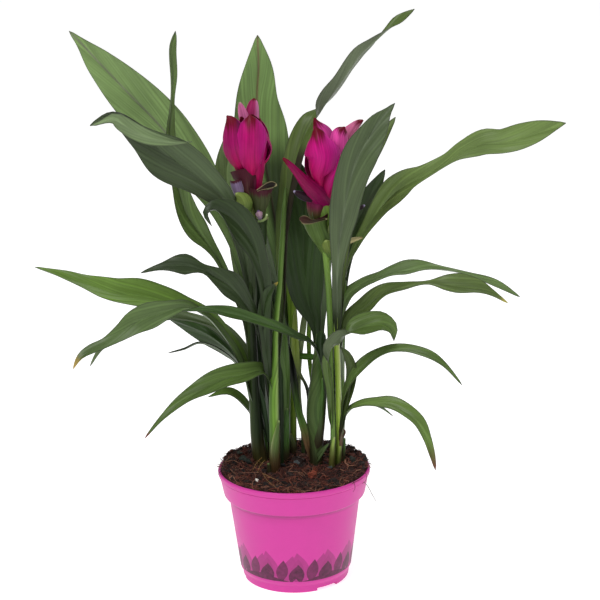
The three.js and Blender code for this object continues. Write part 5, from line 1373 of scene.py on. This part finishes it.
def lump(centre, size, seed, squash=0.7, jag=0.55):
    swell = np.array([noise.fractal(Vector(p * 1.3 + seed), 0.9, 2.0, 3) for p in ball_points])
    turn = Matrix.Rotation(seed, 3, "Z") @ Matrix.Rotation(1.7 * seed, 3, "X")
    shape = (ball_points * (1 + jag * swell[:, None]) * [1.25, 0.9, squash]) @ np.array(turn)
    return centre + size * shape


def drawn_tone(tones, brightest):
    return colour(tones[rng.integers(len(tones))]) * between(0.7, brightest)


def round_pot(reach, way):
    return reach * math.cos(way), reach * math.sin(way)


def anywhere(reach):
    return round_pot(reach * math.sqrt(rng.random()), between(0, FULL_TURN))


def add_crumb(x, y, size, above):
    tone = drawn_tone(SOIL_TONES, 1.5)
    points = lump(np.array([x, y, soil_height(x, y) + above]), size, between(0, 40))
    crumbs.add(points, ball_faces, np.broadcast_to(tone, points.shape), 0 * points)


for k in range(CRUMBS):
    x, y = anywhere(CRUMB_REACH)
    size = between(*CRUMB_SIZES, 2.6)
    add_crumb(x, y, size, 0.35 * size)
for k in range(RAGGED):
    way = math.radians(between(*RAGGED_WAYS[k % 2]))
    x, y = round_pot(between(*RAGGED_REACH), way)
    add_crumb(x, y, between(*RAGGED_SIZES, 1.6), between(*RAGGED_ABOVE, 2))
print("crumbs:", CRUMBS + RAGGED)

# %% Fibres in the compost, and those that lie on the rim
FIBRES, FIBRE_STEPS, FIBRE_SIDES, FIBRE_REACH = 1500, 10, 3, 56
FIBRE_STRIDES, FIBRE_ARCHES, FIBRE_RADII = (0.9, 2.9), (0.6, 3.6), (0.14, 0.40)  # mm
RIM_FIBRES, RIM_REACH, RIM_ARCHES, RIM_OVER, RIM_RADII = 110, (53, 56), (0.8, 3.0), (2.0, 7.0), (0.14, 0.34)
LIP_TOP, LIP_INSIDE = 89.0, 55.5  # mm
FIBRE_TONES = ["#4A1E16", "#622A1E", "#3A1A14", "#7C4230", "#301410", "#8A5E48"]
fibres = Bench()


def add_fibre(line, tone, radius):
    line = np.asarray(line, float)
    along = unit(np.gradient(line, axis=0))
    u = unit(np.cross(along, np.array([0.3, 0.2, 1.0])))
    v = np.cross(along, u)
    turn = FULL_TURN * np.arange(FIBRE_SIDES) / FIBRE_SIDES
    taper = radius * (0.45 + 0.55 * np.sin(np.linspace(0.15, 0.95, len(line)) * np.pi))
    ring = u[:, None] * np.cos(turn)[:, None] + v[:, None] * np.sin(turn)[:, None]
    points = line[:, None] + ring * taper[:, None, None]
    fibres.add(points, tube_faces(len(line), FIBRE_SIDES), np.broadcast_to(tone, points.shape), 0 * points)


for k in range(FIBRES):
    x, y = anywhere(FIBRE_REACH)
    heading, curl = between(0, FULL_TURN), rng.normal(0, 0.28)
    step, arch = between(*FIBRE_STRIDES), between(*FIBRE_ARCHES, 2)
    line = []
    for share in np.linspace(0, 1, FIBRE_STEPS):
        line.append([x, y, soil_height(x, y) + 0.5 + arch * math.sin(math.pi * share) + 0.4 * rng.normal()])
        heading += curl + rng.normal(0, 0.16)
        x, y = x + step * math.cos(heading), y + step * math.sin(heading)
        if math.hypot(x, y) > FIBRE_REACH + 1:
            heading += 2.0
            x, y = x * 0.97, y * 0.97
    add_fibre(line, drawn_tone(FIBRE_TONES, 1.3), between(*FIBRE_RADII, 2))
for k in range(RIM_FIBRES):
    way = math.radians(between(*RAGGED_WAYS[k % 2]))
    reach, swing = between(*RIM_REACH), rng.normal(0, 0.35)
    rise, over = between(*RIM_ARCHES), between(*RIM_OVER)
    line = []
    for share in np.linspace(0, 1, FIBRE_STEPS):
        out = reach + over * share
        x, y = round_pot(out, way + swing * share * 0.25)
        low = max(soil_height(x, y), LIP_TOP) if out > LIP_INSIDE else soil_height(x, y)
        line.append([x, y, low + 0.4 + rise * math.sin(math.pi * share * 0.8) + 0.3 * rng.normal()])
    add_fibre(line, drawn_tone(FIBRE_TONES, 1.3), between(*RIM_RADII, 2))
print("fibres:", FIBRES + RIM_FIBRES)

# %% Where a picture point lies on the soil
LITTER = 4.4  # mm of crumbs and fibres that lie on the bed


def on_soil(px, py, above=0.0):
    """The point at a height above the soil's top that a picture point shows."""
    nearest = None
    for ahead in np.arange(56, -56, -0.5):
        x, y, z = from_picture(px, py, ahead)
        out = max(1.0, math.hypot(x, y) / 56)
        x, y = x / out, y / out
        gap = abs(z - soil_height(x, y) - above) + 40 * (out - 1)
        if nearest is None or gap < nearest[0] - 1e-6:
            nearest = gap, x, y
        elif gap > nearest[0] + 3 and nearest[0] < 0.4:
            break
    _, x, y = nearest
    return np.array([x, y, soil_height(x, y) + above])


print("the middle of the soil in the picture:", on_soil(300, 465).round(), "mm")


# %% A bark chip, perlite and dark lumps: picture point, size in mm, tone, seed and stretch
def add_flake(px, py, size, tone, seed, stretch):
    points = lump(np.zeros(3), 1.0, seed, 0.55, 1.1) * size * stretch + on_soil(px, py, LITTER - 0.2 * size)
    crumbs.add(points, ball_faces, np.broadcast_to(colour(tone), points.shape), 0 * points)


add_flake(312, 475, 3.2, "#743422", 3.0, (0.7, 1.2, 1))
add_flake(314.5, 471, 2.2, "#6A2E1E", 8.0, (1, 1, 1))
add_flake(257, 480, 1.05, "#D8D2CA", 5.0, (1.3, 1, 0.8))
add_flake(299, 459, 3.0, "#382A26", 2.0, (1.3, 1, 1))
add_flake(302, 456, 2.2, "#6A4A3E", 6.0, (1, 1, 1))
add_flake(297, 462, 1.7, "#4C5052", 9.0, (1.2, 1, 1))
add_flake(283, 465, 1.9, "#30363A", 4.0, (1.3, 1, 0.8))
add_flake(244, 458, 2.2, "#262C24", 7.0, (1.4, 1, 0.9))
add_flake(240, 453, 1.8, "#30342A", 11.0, (1.2, 1, 1))
add_flake(248, 462, 1.6, "#202622", 12.0, (1.2, 1, 1))
add_flake(330, 467, 1.5, "#3C4442", 13.0, (1.2, 1, 1))
add_flake(353, 459, 1.8, "#2C302A", 14.0, (1.3, 1, 1))
crumbs.piece("soil_crumbs", [soil_finish], sharp=35)


# %% Straws on the soil, by picture point and height above it, and over the rim, by distance ahead
STRAW_LIES = LITTER - 0.6  # mm above the bed


def add_straw(points, tone, radius, steps=12):
    add_fibre(Route(points).at(np.linspace(0, 1, steps)), colour(tone), radius)


def on_litter(*places):
    return [on_soil(px, py, above + STRAW_LIES) for px, py, above in places]


def in_picture(*places):
    return [from_picture(*place) for place in places]


add_straw(on_litter([252, 472, 1], [256, 464, 6], [262, 457.5, 9]), "#8A6A34", 0.2)
add_straw(on_litter([257, 473, 1], [260, 466, 5], [265, 460, 8]), "#94743C", 0.2)
add_straw(on_litter([238, 473, 1], [252, 472.4, 3], [266, 473.5, 1]), "#8A5A44", 0.2)
add_straw(on_litter([262, 473, 1], [270, 477, 3], [279, 481, 0.5]), "#9A7440", 0.25)
add_straw(on_litter([263, 474, 1], [268, 481, 3], [276, 488, 1]), "#8E6A3E", 0.2)
add_straw(on_litter([345, 478, 0], [350, 475, 1], [356, 473, 0]), "#5A2E22", 0.3)
add_straw(on_litter([223, 468, 0.5], [220.5, 464, 1], [224, 461, 0.5]), "#4A241C", 0.3)
add_straw(on_litter([224, 461, 0.5], [222, 457, 1.5], [227, 455, 0.5]), "#5A2E22", 0.3)
arch = in_picture([350, 486, 38], [353, 483, 41], [358, 480.6, 41], [363, 478, 39])
add_straw(arch, "#5A2E22", 0.3, 14)
hook = in_picture([351, 480, 37], [354, 483, 42], [355, 488, 43.5], [353, 492, 43.5])
add_straw(hook, "#4A241C", 0.25, 14)
loop = in_picture([357, 474, 31], [362, 471.5, 34], [366, 474, 36], [366, 480, 36.5], [362, 484, 38.5])
add_straw(loop, "#5A2E22", 0.25, 14)
hanging = in_picture([363, 481, 22], [368, 486.5, 21], [372, 494, 20.5], [376.5, 502, 20])
add_straw([on_soil(358, 477, 3), *hanging], "#6A6258", 0.28, 16)
fibres.piece("coir_fibres", [fibre_finish], sharp=180)

# %% [markdown]
# ## The pot
# A nursery pot of this kind is injection-moulded polypropylene: a thin wall, a rolled lip, a deep
# collar that steps in to the body, and a foot ring with notches so that water can drain. It is a turned
# shape, so its profile is revolved in code, with the corners rounded first; the notches and drain
# holes are cut with Booleans, as a mould's inserts would leave them. A border of plain pointed leaf
# shapes is printed round the foot.

# %% Finish: polypropylene, semi-matte and pink, with a border printed in a darker ink
FOOT_RING = 10.5  # mm above the table, up to where nothing is printed
BORDER_CELL, BORDER_BASE, LEAF_TALL, LEAF_WIDE = 23.56, 13.0, 27.0, 6.2  # mm
BORDER_WAVE, BORDER_WAVES, BORDER_ROUND = 2.5, 5.0, 45.0  # mm high, how many, and the pot's radius there
BORDER_LEAVES = (  # mm round the pot, height against LEAF_TALL, lean and strength of the ink
    (0.0, 0.8, 0.1, 0.5), (7.0, 1.0, -0.22, 0.4), (15.5, 0.9, 0.25, 0.45),
    (3.5, 0.62, -0.1, 1.0), (11.5, 0.75, 0.15, 0.9), (19.5, 0.55, 0.3, 1.0),
)
UNDERCUT_FROM, UNDERCUT_TO, COLLAR, CORNER_SHADE = 64.0, 67.5, 69.2, 0.62  # mm, and how dark it is there
PLASTIC, INK = (*colour("#C83695"), 1), (*colour("#461232"), 1)
GRIME_SIZE, INK_GRAIN, SKIN_GRAIN = 9.0, 3.0, 0.9  # mm
PLASTIC_GLOSS, PLASTIC_IOR, PLASTIC_SHINE = 0.42, 1.49, 0.35

# Pink plastic with a soft, wide highlight and a fine moulding texture; the ink of the border is a bit worn.
pot_finish, tree, shader = new_finish("polypropylene_pink_semi_matte")
place = add_node(tree, "TexCoord").outputs["Object"]
x, y, z = add_node(tree, "SeparateXYZ", [place]).outputs
way = work_out(tree, y, ("ARCTAN2", x))
across, height = work_out(tree, way, ("MULTIPLY", BORDER_ROUND)), work_out(tree, z, ("DIVIDE", MM))
hills = work_out(tree, way, ("MULTIPLY", BORDER_WAVES), ("SINE",))
ground = work_out(tree, hills, ("MULTIPLY_ADD", BORDER_WAVE, BORDER_BASE))
printed = work_out(tree, height, ("LESS_THAN", ground))
for shift, tall, lean, strength in BORDER_LEAVES:
    rise = work_out(tree, height, ("SUBTRACT", BORDER_BASE - 4), ("DIVIDE", LEAF_TALL * tall))
    drift = work_out(tree, rise, ("MULTIPLY", lean * LEAF_TALL * tall))
    cell = work_out(tree, across, ("SUBTRACT", shift), ("WRAP", BORDER_CELL / 2, -BORDER_CELL / 2))
    aside = work_out(tree, cell, ("SUBTRACT", drift), ("ABSOLUTE",))
    swell = work_out(tree, rise, ("MAXIMUM", 0.0), ("MINIMUM", 1.0), ("MULTIPLY", math.pi), ("SINE",))
    wide = work_out(tree, swell, ("MULTIPLY", LEAF_WIDE * tall))
    shape = work_out(tree, aside, ("LESS_THAN", wide), ("MULTIPLY", strength))
    printed = work_out(tree, printed, ("MAXIMUM", shape))
above_foot = work_out(tree, height, ("GREATER_THAN", FOOT_RING))
worn = sum_of(tree, 0.92, (0.4, 0.5, clouds(tree, INK_GRAIN)))
ink = work_out(tree, printed, ("MULTIPLY", above_foot), ("MULTIPLY", worn))
# Painted shadow: the body is darkened just under the collar, as if the collar's overhang shaded it.
shaded = {"From Min": UNDERCUT_FROM, "From Max": UNDERCUT_TO, "To Min": 1.0, "To Max": CORNER_SHADE}
corner = add_node(tree, "MapRange", {"Value": height, **shaded}, interpolation_type="SMOOTHSTEP").outputs[0]
on_collar = work_out(tree, height, ("GREATER_THAN", COLLAR))
grime = clouds(tree, GRIME_SIZE)
shade = work_out(tree, corner, ("MAXIMUM", on_collar), ("MULTIPLY", sum_of(tree, 1.0, (0.08, 0.5, grime))))
inked = add_node(tree, "Mix", {0: ink, 6: PLASTIC, 7: INK}, data_type="RGBA").outputs[2]
toned = add_node(tree, "VectorMath", {0: inked, "Scale": shade}, operation="SCALE")
skin = sum_of(tree, 0.0, (0.03, 0.5, clouds(tree, SKIN_GRAIN)))
fill(tree, shader, {
    "Base Color": toned.outputs[0], "Specular IOR Level": PLASTIC_SHINE, "IOR": PLASTIC_IOR,
    "Normal": add_node(tree, "Bump", {"Height": skin, "Distance": MM}).outputs[0],
    "Roughness": sum_of(tree, PLASTIC_GLOSS, (0.15, 0.5, grime)),
})
print("finish:", pot_finish.name, "with", len(BORDER_LEAVES), "leaf shapes in each", BORDER_CELL, "mm")

# %% Turn the pot
POT_SIDES, POT_ROUNDING, POT_SHARP = 144, 0.9, 35
PROFILE = [  # radius and height in mm: under the foot, up the outside, over the lip, down the inside
    (0, 0), (20, 0), (21, 3), (35.2, 3), (36.2, 0), (41.6, 0), (42.2, 1), (42.6, 6), (44.4, 9), (52.0, 67.6),
    (52.6, 68.6), (55.4, 68.9), (56.0, 70.0), (58.7, 83.6), (58.9, 84.0), (58.6, 84.5), (60, 85.4),
    (60.1, 88.3), (59.2, 89), (58.2, 89), (57.6, 88), (53.8, 69), (50, 63), (42.2, 9.5), (40.4, 6),
    (39.8, 4.8), (0, 4.8),
]


def rounded(profile, radius, steps=4):
    profile = np.array(profile, float)
    made = [profile[0]]
    for before, corner, after in zip(profile, profile[1:], profile[2:]):
        back, on = np.linalg.norm(before - corner), np.linalg.norm(after - corner)
        cut = min(radius, 0.45 * back, 0.45 * on)
        start, end = corner + (before - corner) / back * cut, corner + (after - corner) / on * cut
        t = np.linspace(0, 1, steps)[:, None]
        made += list((1 - t) ** 2 * start + 2 * t * (1 - t) * corner + t * t * end)
    return made + [profile[-1]]


def body_from(points, faces, name):
    mesh = bpy.data.meshes.new(name)
    mesh.from_pydata((np.asarray(points) * MM).tolist(), [], faces)
    made = bpy.data.objects.new(name, mesh)
    bpy.context.scene.collection.objects.link(made)
    return made


def closed_tube(rings, sides):
    """Faces of a body made of rings of points, closed by a flat end at the first and the last."""
    ends = [list(range(sides))[::-1], list(range((rings - 1) * sides, rings * sides))]
    return tube_faces(rings, sides).tolist() + ends


outline = rounded(PROFILE, POT_ROUNDING)[1:-1]
turns = FULL_TURN * np.arange(POT_SIDES) / POT_SIDES
points = [(*round_pot(r, a), z) for r, z in outline for a in turns]
pot = body_from(points, closed_tube(len(outline), POT_SIDES), "pot_moulded")
print("turned from", len(outline), "rounded profile points")

# %% Cut the water notches and the drain holes
NOTCHES, NOTCH_FIRST, NOTCH_HALF, NOTCH_HIGH = 3, 36, 13, 2.6  # how many, degrees, degrees, mm
NOTCH_SIDES = [[0, 1, 3, 2], [4, 6, 7, 5], [0, 4, 5, 1], [1, 5, 7, 3], [3, 7, 6, 2], [2, 6, 4, 0]]
FOOT_RADIUS, NOTCH_IN, NOTCH_OUT = 42.2, 34, 46
DRAINS, DRAIN_RADIUS, DRAIN_RING, DRAIN_SIDES = 6, 3.2, 27.5, 20
cutters = []
for k in range(NOTCHES):
    a = math.radians(NOTCH_FIRST + 360 / NOTCHES * k - 90)
    half = FOOT_RADIUS * math.sin(math.radians(NOTCH_HALF))
    box = [(x, y, z) for z in (-3, NOTCH_HIGH) for x in (NOTCH_IN, NOTCH_OUT) for y in (-half, half)]
    box = [(x * math.cos(a) - y * math.sin(a), x * math.sin(a) + y * math.cos(a), z) for x, y, z in box]
    cutters.append(body_from(box, NOTCH_SIDES, f"notch_{k}"))
around = FULL_TURN * np.arange(DRAIN_SIDES) / DRAIN_SIDES
for k in range(DRAINS):
    x, y = round_pot(DRAIN_RING, FULL_TURN * k / DRAINS)
    circle = [(x + DRAIN_RADIUS * math.cos(a), y + DRAIN_RADIUS * math.sin(a)) for a in around]
    hole = [(*spot, z) for z in (-2, 8) for spot in circle]
    cutters.append(body_from(hole, closed_tube(2, DRAIN_SIDES), f"drain_{k}"))
for cutter in cutters:
    cut = pot.modifiers.new(cutter.name, "BOOLEAN")
    cut.object, cut.operation, cut.solver = cutter, "DIFFERENCE", "EXACT"
shaped = bpy.data.meshes.new_from_object(pot.evaluated_get(bpy.context.evaluated_depsgraph_get()))
pot.modifiers.clear()
pot.data = shaped
for cutter in cutters:
    bpy.data.objects.remove(cutter)
shaped.materials.clear()
shaped.materials.append(pot_finish)
shaped.shade_smooth()
shaped.set_sharp_from_angle(angle=math.radians(POT_SHARP))
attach(pot, "root")
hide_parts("pot")
print("pot:", len(shaped.polygons), "faces")

# %% [markdown]
# ## Floor and light
# The picture is a studio one: a ground that is white all over, and soft light from all round with the
# most from above. Product photographers get that with a table of opal acrylic lit from below. An even
# sky and three big soft lamps do the rest.

# %% Floor
FLOOR_REACH, FLOOR_SIDES = 30000, 64  # mm, so that its end is far away in every view
FLOOR_GLOW, FLOOR_GLOSS, FLOOR_CLOUDS = 0.68, 0.9, 40.0
WHITE = (1, 1, 1, 1)
floor_points = [(*round_pot(FLOOR_REACH, FULL_TURN * k / FLOOR_SIDES), 0) for k in range(FLOOR_SIDES)]
floor = body_from(floor_points, [list(range(FLOOR_SIDES))], "studio_floor")
# The glow keeps the ground white under the soft shadow of the pot, as a lit table does.
floor_finish, tree, shader = new_finish("opal_acrylic_lit_from_below")
cloudy = add_node(tree, "MapRange", {"Value": clouds(tree, FLOOR_CLOUDS), "To Min": 0.78, "To Max": 0.82})
fill(tree, shader, {
    "Base Color": cloudy.outputs[0], "Roughness": FLOOR_GLOSS, "Specular IOR Level": 0.1,
    "Emission Color": WHITE, "Emission Strength": FLOOR_GLOW,
})
floor.data.materials.append(floor_finish)
floor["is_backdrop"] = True
print("floor:", 2 * FLOOR_REACH * MM, "m across")

# %% Light
SKY_STRENGTH = 0.42
TARGET = Vector((0, 0, 0.24))
world = bpy.data.worlds.new("studio")
bpy.context.scene.world = world
world.use_nodes = True
fill(world.node_tree, world.node_tree.nodes["Background"], {"Color": WHITE, "Strength": SKY_STRENGTH})


def add_lamp(name, place, size, power):
    lamp_data = bpy.data.lights.new(name, "AREA")
    lamp_data.shape, lamp_data.size, lamp_data.energy = "DISK", size, power
    lamp = bpy.data.objects.new(name, lamp_data)
    lamp.location = place
    lamp.rotation_euler = (TARGET - Vector(place)).to_track_quat("-Z", "Y").to_euler()
    bpy.context.scene.collection.objects.link(lamp)


add_lamp("key", (-0.7, -1.0, 2.0), 1.0, 26)
add_lamp("fill", (1.5, -1.4, 1.2), 1.4, 7)
add_lamp("back", (0.4, 1.5, 1.7), 1.0, 6)
bpy.context.scene.view_settings.view_transform = "Standard"
print("light: a sky of strength", SKY_STRENGTH, "and three lamps")

# %% [markdown]
# ## Size
# The box round the dressed model is worked out.

# %% Work out the dressed model's box
low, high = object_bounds()
